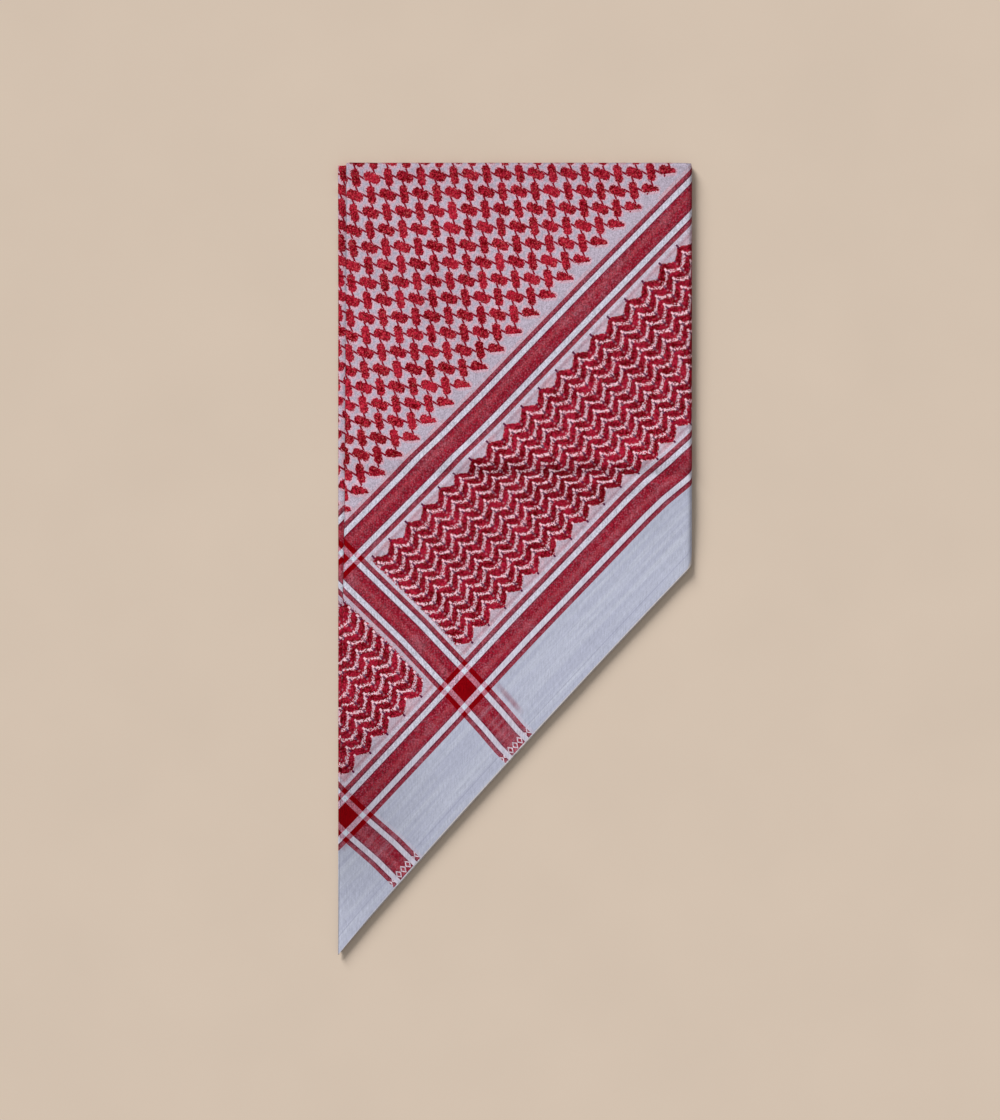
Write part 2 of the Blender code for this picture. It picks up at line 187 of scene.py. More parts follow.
# ---------------------------------------------------------------------------------------------
# The cloth. Its coordinates are metres along the hem and in from the hem, from the foot's corner.
FAR_HEM = 1.39            # where the far margin would end along the hem
Band = namedtuple("Band", "hem_side corner_side")
OUTER_BAND = Band(0.1120, 0.1320)      # middle of each striped band, in from its hem
INNER_BAND = Band(0.3360, 0.3490)
STRIPE_THICK = 0.0120     # half the broad red stripe
STRIPE_WHITE = 0.0187     # outer edge of the white stripe beside it
STRIPE_THIN = 0.0247      # outer edge of the thin red stripe
STRIPE_LINE = 0.0290      # outer edge of the pale line beside that, on one side
ENDS = 24                 # threads drawn in one repeat, about half of what real cloth has

# Tints of a band by distance from its middle: one side, which the other mirrors, and the middle.
Tone = namedtuple("Tone", "place tint")
STRIPE_SIDE = (
    Tone(0.0104, "stripe_red"), Tone(0.0112, "stripe_edge"), Tone(0.0119, "stripe_edge"),
    Tone(0.0122, "stripe_rim"), Tone(0.0138, "white"), Tone(0.0170, "white"),
    Tone(0.0185, "stripe_rim"), Tone(0.0188, "stripe_edge"), Tone(0.0196, "stripe_edge"),
    Tone(0.0205, "thin_red"), Tone(0.0247, "thin_red"))
STRIPE_MIDDLE = (Tone(-0.0076, "stripe_red"), Tone(-0.0040, "stripe_lit"),
                 Tone(-0.0015, "stripe_lit"), Tone(0.0022, "stripe_red"))
STRIPE_TONES = (*(Tone(-tone.place, tone.tint) for tone in reversed(STRIPE_SIDE)),
                *STRIPE_MIDDLE, *STRIPE_SIDE)

# How the woven repeats lie on the pile: repeats for each metre across the pile and up it, and the
# count at the foot. along counts along the hem, inward counts in from it.
Lay = namedtuple("Lay", "across up foot")
FIELD_LAY = (Lay(23.94, 22.00, -16.383), Lay(-24.96, 23.94, -39.175))
ABOVE_LAY = (Lay(23.53, 22.18, -16.61), Lay(-24.63, 23.91, -39.081))
BELOW_LAY = (Lay(24.15, 23.25, -17.635), Lay(-25.48, 24.28, -39.32))
CORNER_LAY = (Lay(22.21, 22.47, -17.07), Lay(-25.80, 23.26, -38.945))
LAY_CHANGE = (0.585, 0.032)        # height above the foot where BELOW_LAY ends, and the blend

# The straight middle of each band on the pile drifts from its place on the cloth by these amounts,
# by distance along the band.
Drift = namedtuple("Drift", "along shift")
OUTER_DRIFT = (Drift(0.13, 0.1162), Drift(0.30, 0.1217), Drift(0.45, 0.1272), Drift(0.66, 0.1314),
               Drift(0.69, 0.1310), Drift(0.73, 0.1272), Drift(0.78, 0.1258))
INNER_DRIFT = (Drift(0.36, 0.3522), Drift(0.62, 0.3528), Drift(0.80, 0.3561), Drift(0.96, 0.3579))
OUTER_ACROSS = (Drift(0.02, 0.1335), Drift(0.05, 0.1335), Drift(0.10, 0.1300), Drift(0.14, 0.1290))
INNER_ACROSS = (Drift(0.04, 0.3420), Drift(0.07, 0.3445), Drift(0.12, 0.3470), Drift(0.22, 0.3500),
                Drift(0.31, 0.3488))

# The back pair's cloth lies this far across and up from the front pair's, above where it starts.
UNDER_FOLD_SHIFT = (0.0153, -0.0072)
SHIFT_START = 0.20
SHIFT_REACH = 0.15
WING_TWIST = HEM_SLOPE - WING_SLOPE

# Where the cloth has slipped up or down a little: middle and reach of each place, and how far.
Slip = namedtuple("Slip", "across up reach_across reach_up rise")
SLIPS = (
    Slip(0.220, 0.622, 0.500, 0.016, 0.0012),
    Slip(0.020, 0.633, 0.055, 0.040, 0.0026),
    Slip(0.185, 0.970, 0.070, 0.050, 0.0013),
    Slip(0.345, 0.970, 0.045, 0.050, -0.0021),
)

ROOT2 = math.sqrt(2.0)
RAMP_REACH = 0.05         # distance that a colour ramp over a band covers on each side
FIELD_START = 0.0408      # field's joining threads from the middle of the inner band
FIELD_MARGIN = 0.012      # room beyond that for its last figures
LAST_FIGURES = -26        # the row that the field ends with, whose figures taper away
# Their outline: shares of the place along the hem and in from it, and a constant.
TAPER = (-0.50, -0.63, -0.84)
BORDER_START = 0.0300     # border's figures from the middle of a band across it
BORDER_ROWS = (-68.88, -58.12)
SPECKLE = 0.42            # how much lighter and darker single threads are
RED_SPECKLE = 0.38        # added to it on red stripes
RED_FLECK = 0.16          # pale threads that show through them
FIELD_FLECKS = 0.28       # the same in the field's figures and in the border's
BORDER_FLECKS = 0.10
BROAD_SCALE = 48.0        # patches for each metre, in the reds and in the pale ground
MOTTLE_SCALE = 34.0
MARGIN_PICKS = (5.0, 120.0, 0.0)   # streaks for each metre along the hem and in from it
MARGIN_SPECKLE = 0.10     # the same in the margin
HATCH = 0.40              # strength of the slanting ribs
STREAK = 0.24             # strength of the streaks of single ends and picks

# A few rose threads beside a band that lies along the hem: their distance from its middle, their
# half width and how strongly they show.
ROSE_LINE = (0.0323, 0.0024, 0.34)
# Painted shade on the reds just below the packing crease, and a painted highlight on them above it:
# how bright they are there. The places are distances across the cloth along CREASE_LEAN, and the
# brightness is halved.
CREASE_LEAN = (1.17, 0.83)
CREASE_REACH = (0.820, 1.040)
CREASE_REDS = ((0.830, 0.48), (0.864, 0.34), (0.885, 0.20), (0.912, 0.34), (0.940, 0.56),
               (0.970, 0.66), (1.002, 0.60), (1.032, 0.47))
# The bands across the hem end here, and their last stretch is woven with small diamonds.
BAND_END = 0.0015
DIAMOND_ROW = (0.0080, 0.0060)     # middle and half height of their row, in from the hem
DIAMOND_HALF = 0.0042              # half the width of one
DIAMOND_LINE = (0.78, 0.20)        # where its pale outline lies, from 0 inside to 1 at its points

# Stray pink threads beside those bands: middle and half size, along the hem and in from it.
STRAY_THREADS = (
    ((INNER_BAND.corner_side + 0.0338, 0.0038), (0.060, 0.025)),
    ((OUTER_BAND.corner_side - 0.0290, 0.0060), (0.098, 0.014)),
)
HEM_TURNING = (0.0140, 0.0007)     # line where the hem's turning ends, and half its width
SELVEDGE = 0.0012         # width of the pale cord along the hem's edge
CORD_WEAR = (0.05, 0.20, 0.30, 0.90)    # how strongly it shows along the hem
EDGE_SHADE = 0.28         # painted shade: how dark the cloth's rolled edges get
CREASE_SHADE = 0.05       # how much darker the crease is, as painted shade
CREASE_SHADE_PLACE = (0.1030, 0.016)    # its middle and its reach
FOOT_SHADE = 0.29         # painted shade: how much darker the cloth is near the foot's corner
FOOT_SHADE_PLACE = (0.34, 0.12)    # height above the foot that it reaches, and its blend
FOOT_SHADE_REACH = 0.15   # width from the left fold over which it fades
FOOT_SHADE_END = 0.16     # it ends in the tip, this far above the foot
TOP_SHADE = 0.10          # painted shade: how much darker the cloth is at the top fold
TOP_SHADE_REACH = 0.055

CELL = (24.7, 23.1)       # a repeat, along the hem and in from it, in single threads
FIGURE_ROUGHNESS = 0.8    # how ragged single threads make the figures' edges
FIGURE_REACH = 4.0        # what lobes() gives where the rim has turned into the ground
BORDER_ROUGHNESS = 0.32
# In Threads, crease is the painted shade and highlight of the reds at the packing crease.
Threads = namedtuple("Threads", "crossing fine broad crease")
Stripes = namedtuple("Stripes", "redness cover line tint away")

# The field's figures, in single threads: the step between their lobes, and half sizes of a lobe.
Figure = namedtuple("Figure", "step_x step_y lobe width")
LYING_FIGURE = Figure(2.4, -5.0, 3.4, 4.8)
STANDING_FIGURE = Figure(3.0, 4.6, 3.4, 4.4)
FIGURE_LENGTH = 9.6       # half length of the oval that the lobes lie in
FIGURE_SWELL = 1.20       # its half width, in half widths of a lobe
# Marks at the turns of the zigzag: level from the line and half height, in rows, half width in
# repeats, and how strongly they show.
Mark = namedtuple("Mark", "level reach half strength")
# The dark dashes at peaks and valleys are painted shadow in the gaps where the threads dive.
PEAK_SPIKE = Mark(0.20, 0.13, 0.030, 0.8)
PEAK_SHADOW = Mark(-0.15, 0.19, 0.023, 0.85)
VALLEY_SPOT = Mark(-0.46, 0.08, 0.045, 0.35)
VALLEY_SHADOW = Mark(-0.11, 0.19, 0.023, 0.85)
# Painted shadow at the turns just outside the first and the last row, as dark dashes: level and half
# height.
VALLEY_TICK = (-68.94, 0.12)
PEAK_TICK = (-58.06, 0.11)
TICK_HALF = 0.022
ThreadLine = namedtuple("ThreadLine", "across lean low high half")
JOINING_LINES = (
    ThreadLine(4.94, -0.319, -10.5, -3.0, 1.00),
    ThreadLine(4.39, 0.389, 0.2, 5.8, 1.05),
)

# Height of the zigzag lines over one repeat, from a peak, in rows.
Zigzag = namedtuple("Zigzag", "peak slope bend")
ZIGZAG = Zigzag(1.45, -1.9, 0.8)
ZIGZAG_HALF = 0.054       # half the width of its line half way along, in rows
ZIGZAG_RISING = 0.018     # added to that where the line rises
ZIGZAG_SWELL = 1.5        # how fast it widens from there to the turns

KEY_PLACE = (-1.88, 3.13, 1.63)    # where the main light shines from
LENS = 85.0
SENSOR = 36.0
VIEW_CENTRE = (-0.01875, -0.00125)


def smooth(share):
    """Ease from 0 to 1 as share goes from 0 to 1."""
    share = min(max(share, 0.0), 1.0)
    return share * share * (3.0 - 2.0 * share)


def mix(start, end, share):
    """Point between start and end."""
    return start + (end - start) * share


def look_up(table, value):
    """Second column of a two-column table at value, straight between its rows."""
    if value <= table[0][0]:
        return table[0][1]
    for low, high in zip(table, table[1:]):
        if value <= high[0]:
            return mix(low[1], high[1], (value - low[0]) / (high[0] - low[0]))
    return table[-1][1]


# ---------------------------------------------------------------------------------------------
# Shape of the pile.
def hem_y(x, inset=0.0):
    """Height of the slanting hem at x, moved into the cloth by inset."""
    along = (x + HALF_WIDTH) / PILE_WIDTH
    bow = 4.0 * HEM_BOW * along * (1.0 - along)
    return FOOT + HEM_SLOPE * (x + HALF_WIDTH) + (bow + inset) * HEM_STEEPNESS


def front_hem_y(x, inset=0.0):
    """Hem of the front layer, which draws back from the next layer's away from the foot."""
    peep = HEM_PEEP * min((x + HALF_WIDTH) / HEM_PEEP_START, 1.0)
    return hem_y(x, inset + peep)


def wing_hem_y(x, inset=0.0):
    """Height of the hem of the turned-back corner at x."""
    return FOOT + CORNER_RISE + WING_SLOPE * (HALF_WIDTH - x) + inset * WING_STEEPNESS


def wing_cover(x, y):
    """How far (x, y) lies inside the hem of the turned-back corner."""
    return (y - wing_hem_y(x)) / WING_STEEPNESS


def crease_height(x, y):
    """Rise or fall of the pile's face at the packing crease."""
    return look_up(CREASE_PROFILE, y - CREASE_Y) * look_up(CREASE_STRENGTH, x)


def wing_top(x, y):
    """Height of the turned-back corner, which steps up from its hems."""
    return WING_HEIGHT * mix(WING_EDGE, 1.0, smooth(wing_cover(x, y) / STAGGER))


def even_top(x, y):
    """Height of the front layer's face without its soft creases."""
    lift = WING_LIFT * smooth((wing_cover(x, y) + DRAPE) / (DRAPE + STAGGER))
    return FOUR_LAYERS + lift + crease_height(x, y)


def pile_top(x, y):
    """Height of the front layer's face."""
    return even_top(x, y) + soft_folds(x, y) + unevenness(x, y)


def inner_top(x, y):
    """Height of the inner layers' face, under the front layer's wall."""
    return pile_top(x, y) - LAYER - NEST


def inner_floor(x, y):
    """Underside of the inner layers: on the wing where it reaches, else on the floor."""
    return (wing_top(x, y) + NEST) * smooth((wing_cover(x, y) + TUCK) / TUCK_SLOPE)


def peep(y):
    """Width of the back pair's fold that shows beside the front pair's."""
    return look_up(UNDER_FOLD_PEEP, y - FOOT)


def soft_folds(x, y):
    """Height that the soft creases add at a point of the face."""
    rise = 0.0
    for fold in SOFT_FOLDS:
        run = Vector(fold.end) - Vector(fold.start)
        place = Vector((x, y)) - Vector(fold.start)
        along = place.dot(run) / run.length_squared
        if -0.3 < along < 1.3:
            across = (place - run * along).length / fold.width
            fade = smooth((along + 0.3) / 0.5) * smooth((1.3 - along) / 0.5)
            rise += fold.height * fade * math.exp(-across * across)
    return rise


def face_shade(x, y):
    """Painted shade of a point of the face: how bright it is, darker in the packing crease, at the
    foot and the top.
    """
    middle, reach = CREASE_SHADE_PLACE
    across = (y - middle) / reach
    crease = CREASE_SHADE * look_up(CREASE_STRENGTH, x) * math.exp(-across * across)
    low = smooth((FOOT_SHADE_PLACE[0] - y + FOOT) / FOOT_SHADE_PLACE[1])
    low *= smooth((y - FOOT) / FOOT_SHADE_END)
    aside = 1.0 - 0.8 * smooth((x + HALF_WIDTH) / FOOT_SHADE_REACH)
    high = smooth((y - HEAD) / TOP_SHADE_REACH + 1.0)
    return (1.0 - crease) * (1.0 - FOOT_SHADE * low * aside) * (1.0 - TOP_SHADE * high)


def unevenness(x, y):
    """Gentle rise and fall of cloth that lies loosely."""
    broad = noise.noise(Vector((x * 14.0, y * 9.0, 0.0)))
    fine = noise.noise(Vector((x * 45.0, y * 38.0, 7.0)))
    return 0.00035 * broad + 0.00010 * fine


# ---------------------------------------------------------------------------------------------
# Place of a point on the cloth. across and up are metres from the long fold and from the foot.
def hem_place(along):
    """How far the slant's edge lies in from a line at half a right angle through the foot."""
    across = ROOT2 * along / (1.0 + HEM_SLOPE)
    share = min(across / PILE_WIDTH, 1.0)
    rise = 4.0 * HEM_BOW * share * (1.0 - share) + HEM_PEEP * min(across / HEM_PEEP_START, 1.0)
    return (along * (HEM_SLOPE - 1.0) + ROOT2 * rise * HEM_STEEPNESS) / (1.0 + HEM_SLOPE)


def on_cloth(across, up):
    """Metres along the hem and in from it, for the striped bands."""
    along = (across + up) / ROOT2
    inward = (up - across) / ROOT2
    hem_inward = hem_place(along)
    near = look_up(OUTER_DRIFT, along)
    far = look_up(INNER_DRIFT, along)
    half = STRIPE_THIN
    to_outer = smooth((inward - hem_inward) / (near - half - hem_inward))
    to_inner = smooth((inward - near - half) / (far - near - 2.0 * half))
    shift = mix(-hem_inward, OUTER_BAND.hem_side - near, to_outer)
    shift = mix(shift, INNER_BAND.hem_side - far, to_inner)
    near = look_up(OUTER_ACROSS, inward)
    far = look_up(INNER_ACROSS, inward)
    to_inner = smooth((along - near - half) / (far - near - 2.0 * half))
    slide = mix(OUTER_BAND.corner_side - near, INNER_BAND.corner_side - far, to_inner)
    return along + slide, inward + shift


def slipped(across, up):
    """Place on the evenly laid cloth of a point that is across and up on the slipped one."""
    for slip in SLIPS:
        aside = (across - slip.across) / slip.reach_across
        above = (up - slip.up) / slip.reach_up
        up -= slip.rise * math.exp(-aside * aside - above * above)
    return across, up


def lay_count(lay, across, up):
    """Repeats along the hem and in from it under one of the lays."""
    return Vector([part.across * across + part.up * up + part.foot for part in lay])


def repeats(across, up, cloth):
    """Repeats along the hem and in from it, for the woven figures."""
    along, inward = cloth
    above = smooth((up - LAY_CHANGE[0]) / LAY_CHANGE[1])
    border = lay_count(BELOW_LAY, across, up).lerp(lay_count(ABOVE_LAY, across, up), above)
    beyond = smooth((along - INNER_BAND.corner_side + STRIPE_THIN) / (2.0 * STRIPE_THIN))
    border = lay_count(CORNER_LAY, across, up).lerp(border, beyond)
    inside = smooth((inward - INNER_BAND.hem_side + STRIPE_THIN) / (2.0 * STRIPE_THIN))
    return border.lerp(lay_count(FIELD_LAY, across, up), inside)


# ---------------------------------------------------------------------------------------------
# Sheets.
class Sheet:
    """Points of a sheet with their places on the cloth, and the faces between them."""

    def __init__(self):
        self.points = []
        self.places = []
        self.shades = []
        self.faces = []

    def point(self, where, across, up, shade=1.0):
        """Add a point that is across and up on the flat cloth, and return its number."""
        self.points.append(where)
        self.places.append((across, up))
        self.shades.append(shade)
        return len(self.points) - 1

    def grid(self, lines, upward=True):
        """Quads between lines of points, which run up from left to right."""
        for left, right in zip(lines, lines[1:]):
            for row in range(len(left) - 1):
                quad = (left[row], right[row], right[row + 1], left[row + 1])
                self.faces.append(quad if upward else quad[::-1])

    def band(self, upper, lower, closed):
        """Quads between two rows of points that run anticlockwise, facing out."""
        count = len(upper)
        for start in range(count if closed else count - 1):
            end = (start + 1) % count
            self.faces.append((lower[start], lower[end], upper[end], upper[start]))

    def close(self, stations):
        """Faces between rings of points, and over the first and the last ring."""
        for near, far in zip(stations, stations[1:]):
            self.band(far, near, closed=True)
        self.faces.append(tuple(stations[0][::-1]))
        self.faces.append(tuple(stations[-1]))

    def make(self, name, material):
        """Turn the sheet into an object whose two UV maps hold its places on the cloth."""
        data = bpy.data.meshes.new(name)
        data.from_pydata(self.points, [], self.faces)
        uses = Counter(key for face in data.polygons for key in face.edge_keys)
        data.edges.foreach_set("use_edge_sharp", [uses[edge.key] == 1 for edge in data.edges])
        places = [slipped(*place) for place in self.places]
        cloth = [on_cloth(*place) for place in places]
        figures = [repeats(*place, spot) for place, spot in zip(places, cloth)]
        for title, values in (("cloth", cloth), ("repeats", figures)):
            layer = data.uv_layers.new(name=title)
            layer.data.foreach_set("uv", [number for loop in data.loops
                                          for number in values[loop.vertex_index]])
        # Painted shade of each point, which the cotton multiplies into its colour.
        data.attributes.new("shade", "FLOAT", "POINT").data.foreach_set("value", self.shades)
        data.shade_smooth()
        data.materials.append(material)
        thing = bpy.data.objects.new(name, data)
        bpy.context.scene.collection.objects.link(thing)
        return thing


def lay_grid(columns, rows, left, right, low, head, trim=0.0, edge_only=False):
    """Plan points of a grid, with its upper corners drawn in by trim.

    left and right are functions of y, and low and head are functions of x. With edge_only, the
    points inside the grid are left out.
    """
    grid = []
    for column in range(columns + 1):
        across = column / columns
        line = []
        for row in range(rows + 1):
            if edge_only and 0 < column < columns and 0 < row < rows:
                line.append(None)
                continue
            x = mix(left(0.0), right(0.0), across)
            for _ in range(SETTLING):
                y = mix(low(x), head(x), row / rows)
                x = mix(left(y), right(y), across)
            line.append((x, y))
        grid.append(line)
    for line, side in ((grid[0], 1.0), (grid[-1], -1.0)):
        x, y = line[-1]
        line[-1] = (x + side * trim, y - trim)
    return grid


def border(grid):
    """Outer points of a grid, anticlockwise from its lower left corner."""
    last = len(grid) - 1
    top = len(grid[0]) - 1
    loop = [grid[column][0] for column in range(last)]
    loop += [grid[last][row] for row in range(top)]
    loop += [grid[column][top] for column in range(last, 0, -1)]
    loop += [grid[0][row] for row in range(top, 0, -1)]
    return loop


def roll_heights(point, side):
    """Height of the front layer's rolled edge at a point on the given side."""
    x, y = point
    whole = pile_top(x, y)
    if side in ("left", "foot"):
        return FRONT_PAIR
    if side == "right":
        return whole
    from_left = smooth((x + HALF_WIDTH - peep(y) - ROLL_LEFT) / CORNER_BLEND)
    from_right = smooth((HALF_WIDTH - x) / CORNER_BLEND)
    return mix(whole, mix(FRONT_PAIR, FOUR_LAYERS, from_left), from_right)


def roll_path(point, side, low_end):
    """Points that carry one edge point of the front cloth round its fold, outermost half way."""
    x, y = point
    height = roll_heights(point, side)
    reach = {
        "left": (-ROLL_LEFT, 0.0),
        "top left": (-ROLL_LEFT * CORNER_SOFTNESS, ROLL_TOP * CORNER_SOFTNESS),
        "top": (0.0, ROLL_TOP),
        "top right": (ROLL_RIGHT * CORNER_SOFTNESS, ROLL_TOP * CORNER_SOFTNESS),
        "right": (ROLL_RIGHT, 0.0),
        "foot": (-ROLL_LEFT, -ROLL_LEFT * HEM_SLOPE),
    }[side]
    climb = 0.0
    if side == "right":
        climb = HEM_SLOPE * max(0.0, 1.0 - (y - low_end) / HEM_SWING)
    path = []
    for step in range(1, ROLL_STEPS + 1):
        turn = math.pi * step / ROLL_STEPS
        out = math.sin(turn)
        swing = climb * ROLL_RIGHT * turn
        path.append(Vector((x + reach[0] * out, y + reach[1] * out + swing,
                            pile_top(x, y) - height * (1.0 - math.cos(turn)) / 2.0)))
    return path


def roll_inset(roll, radius, height):
    """How far a layer stands in from a roll's outer edge, to nest in the roll's upper part.

    roll is the roll's reach, radius half its height, and height is measured from its middle.
    """
    room = 1.0 - (height / (radius - LAYER - GAP)) ** 2
    if room <= 0.0 or height < -NEST:
        return roll + NEST
    return roll - (roll - LAYER - NEST) * math.sqrt(room)


def wrap(x, y, out=(0.0, 0.0)):
    """Place on the cloth, across and up, of a point of the pile, moved by the cloth rolled away."""
    return x + HALF_WIDTH + out[0], y - FOOT + out[1]


def front_sheet():
    """The face of the scarf, which rolls round the left, top and right folds."""
    sheet = Sheet()
    plan = lay_grid(FACE_COLUMNS, FACE_ROWS, lambda y: -HALF_WIDTH + peep(y) + ROLL_LEFT,
                    lambda y: HALF_WIDTH - ROLL_RIGHT, front_hem_y, lambda x: HEAD - ROLL_TOP)
    face = [[sheet.point((x, y, pile_top(x, y)), *wrap(x, y), face_shade(x, y))
             for x, y in line] for line in plan]
    sheet.grid(face)
    last = len(plan) - 1
    top = len(plan[0]) - 1
    edge = [(last, row, "right") for row in range(top)]
    edge.append((last, top, "top right"))
    edge += [(column, top, "top") for column in range(last - 1, 0, -1)]
    edge.append((0, top, "top left"))
    edge += [(0, row, "left") for row in range(top - 1, 0, -1)]
    edge.append((0, 0, "foot"))
    low_end = plan[last][0][1]
    away = {"left": (-1.0, 0.0), "top left": (-0.7, 0.7), "top": (0.0, 1.0),
            "top right": (0.7, 0.7), "right": (1.0, 0.0), "foot": (-0.7, -0.7)}
    rings = [[face[column][row] for column, row, _ in edge]]
    rings += [[] for _ in range(ROLL_STEPS)]
    for column, row, side in edge:
        x, y = plan[column][row]
        before = Vector((x, y, pile_top(x, y)))
        rolled = 0.0
        # Painted shade darkens the roll round the left and top folds and at the foot; the right
        # fold's roll stays bright.
        dark = 1.0 if side == "right" else EDGE_SHADE
        for turn, place in enumerate(roll_path((x, y), side, low_end), 1):
            rolled += (place - before).length
            before = place
            out = [share * rolled for share in away[side]]
            shade = face_shade(x, y) * mix(1.0, dark, min(2.0 * turn / ROLL_STEPS, 1.0) ** 0.6)
            rings[turn].append(sheet.point(place, *wrap(x, y, out), shade))
    for above, below in zip(rings, rings[1:]):
        sheet.band(above, below, closed=False)
    return sheet


def step_height(step, top, floor, x, y):
    """Height of a step at (x, y) between the faces top and floor."""
    return mix(top(x, y) - step.drop, floor(x, y), step.share)


def stepped_sheet(grid, steps, top, floor, place):
    """Closed sheet between two faces, whose edge goes in and out at each step of its plan."""
    sheet = Sheet()
    first = grid(steps[0])
    last = grid(steps[-1])
    upper = [[sheet.point((x, y, top(x, y)), *place(x, y)) for x, y in line] for line in first]
    lower = [[sheet.point((x, y, floor(x, y)), *place(x, y)) for x, y in line] for line in last]
    rings = [border(upper)]
    for step in steps[1:-1]:
        rings.append([sheet.point((x, y, step_height(step, top, floor, x, y)), *place(x, y))
                      for x, y in border(grid(step, edge_only=True))])
    rings.append(border(lower))
    sheet.grid(upper)
    sheet.grid(lower, upward=False)
    for above, below in zip(rings, rings[1:]):
        sheet.band(above, below, closed=True)
    return sheet


def wander(step, x, seed):
    """How far a step's hem wanders in at x."""
    return step.wave * (1.0 + noise.noise(Vector((x * 25.0, step.hem * 900.0, seed))))


def inner_sheet():
    """The layers inside the pile, whose edges show as thin steps."""
    def plan(step, edge_only=False):
        middle = FOUR_LAYERS / 2
        height = mix(FOUR_LAYERS - LAYER - NEST - step.drop, 0.0, step.share)
        top_inset = roll_inset(ROLL_TOP, middle, height - middle)

        def head(x):
            from_corner = smooth((x + HALF_WIDTH - CORNER_TRIM) / CORNER_BLEND)
            return HEAD - mix(ROLL_TOP + NEST, top_inset, from_corner)

        def right(y):
            edge = HALF_WIDTH - ROLL_RIGHT
            half = even_top(edge, y) / 2
            height = mix(2.0 * half - LAYER - NEST - step.drop, inner_floor(edge, y), step.share)
            return HALF_WIDTH - roll_inset(ROLL_RIGHT, half, height - half)

        def low(x):
            return hem_y(x, step.hem + wander(step, x, 0.0))

        return lay_grid(INNER_COLUMNS, INNER_ROWS, lambda y: -HALF_WIDTH + peep(y) + step.left,
                        right, low, head, CORNER_TRIM, edge_only)

    return stepped_sheet(plan, INNER_STEPS, inner_top, inner_floor, wrap)


def wing_place(x, y):
    """Place on the cloth of a point of the turned-back corner."""
    across = 2.0 * PILE_WIDTH - (x + HALF_WIDTH)
    return across, y - FOOT + WING_TWIST * (across - PILE_WIDTH)


def wing_sheet():
    """The corner turned behind, with the edges of its four hems."""
    def plan(step, edge_only=False):
        def head(x):
            behind_roll = smooth((x - HALF_WIDTH + 2.0 * CORNER_BLEND) / CORNER_BLEND)
            return HEAD - step.left - mix(WING_TOP_INSET, ROLL_TOP, behind_roll)

        def low(x):
            return wing_hem_y(x, step.hem + wander(step, x, 3.0))

        return lay_grid(INNER_COLUMNS, WING_ROWS, lambda y: -HALF_WIDTH + step.left,
                        lambda y: HALF_WIDTH - ROLL_RIGHT - NEST, low, head, CORNER_TRIM, edge_only)

    return stepped_sheet(plan, WING_STEPS, wing_top, lambda x, y: 0.0, wing_place)


def under_fold_sheet():
    """The back pair's fold, which shows beside the front pair's and rolls down to what is under."""
    sheet = Sheet()
    stations = []
    foot_end = FOOT + UNDER_FOLD_START
    head_end = HEAD - ROLL_TOP - GAP
    for station in range(UNDER_FOLD_STATIONS + 1):
        y = mix(foot_end, head_end, station / UNDER_FOLD_STATIONS)
        hem_x = -HALF_WIDTH + (y - FOOT) / HEM_SLOPE - UNDER_FOLD_CLEAR
        left = -HALF_WIDTH
        right = min(left + peep(y) + UNDER_FOLD_REACH, hem_x)
        floor = inner_floor(left, y)
        top = pile_top(left, y) - FRONT_PAIR - 2.0 * GAP
        radius = min((top - floor) / 2.0, (right - left) * 0.8)
        section = [Vector((right, y, inner_floor(right, y))),
                   Vector((right, y, pile_top(right, y) - FRONT_PAIR - 2.0 * GAP))]
        for step in range(UNDER_FOLD_TURNS + 1):
            turn = math.pi * step / UNDER_FOLD_TURNS
            section.append(Vector((left + radius - radius * math.sin(turn), y,
                                   mix(floor, top, (1.0 + math.cos(turn)) / 2.0))))
        rolled = 0.0
        ring = []
        shift = smooth((y - FOOT - SHIFT_START) / SHIFT_REACH)
        start = section[1].x + HALF_WIDTH + UNDER_FOLD_SHIFT[0] * shift
        up = y - FOOT + UNDER_FOLD_SHIFT[1] * shift
        for count, (before, place) in enumerate(zip(section[:1] + section, section)):
            if place.z < before.z or place.x < before.x:
                rolled += (place - before).length
            # Painted shade darkens the fold's roll as it turns under.
            shade = mix(1.0, EDGE_SHADE, smooth((count - 2) / (UNDER_FOLD_TURNS / 2)))
            ring.append(sheet.point(place, start - rolled, up, shade))
        stations.append(ring)
    sheet.close(stations)
    return sheet


def second_hem_sheet():
    """The next layer's hem, which shows as a thin edge along the slant."""
    sheet = Sheet()
    stations = []
    start = -HALF_WIDTH + ROLL_LEFT + 2.0 * GAP
    end = HALF_WIDTH - ROLL_RIGHT - GAP
    for station in range(HEM_STATIONS + 1):
        x = mix(start, end, station / HEM_STATIONS)
        wave = HEM_RIPPLE * (1.0 + noise.noise(Vector((x * 18.0, 0.0, 5.0))))
        ring = []
        for inset, height in HEM_SECTION:
            y = hem_y(x, inset + (wave if inset < 0.002 else 0.0))
            ring.append(sheet.point((x, y, pile_top(x, y) - LAYER - GAP + height), *wrap(x, y)))
        stations.append(ring)
    sheet.close(stations)
    return sheet


def linear(code):
    """Linear RGBA of an sRGB hex colour."""
    values = [int(code[place:place + 2], 16) / 255.0 for place in (0, 2, 4)]
    return [v / 12.92 if v <= 0.04045 else ((v + 0.055) / 1.055) ** 2.4 for v in values] + [1.0]


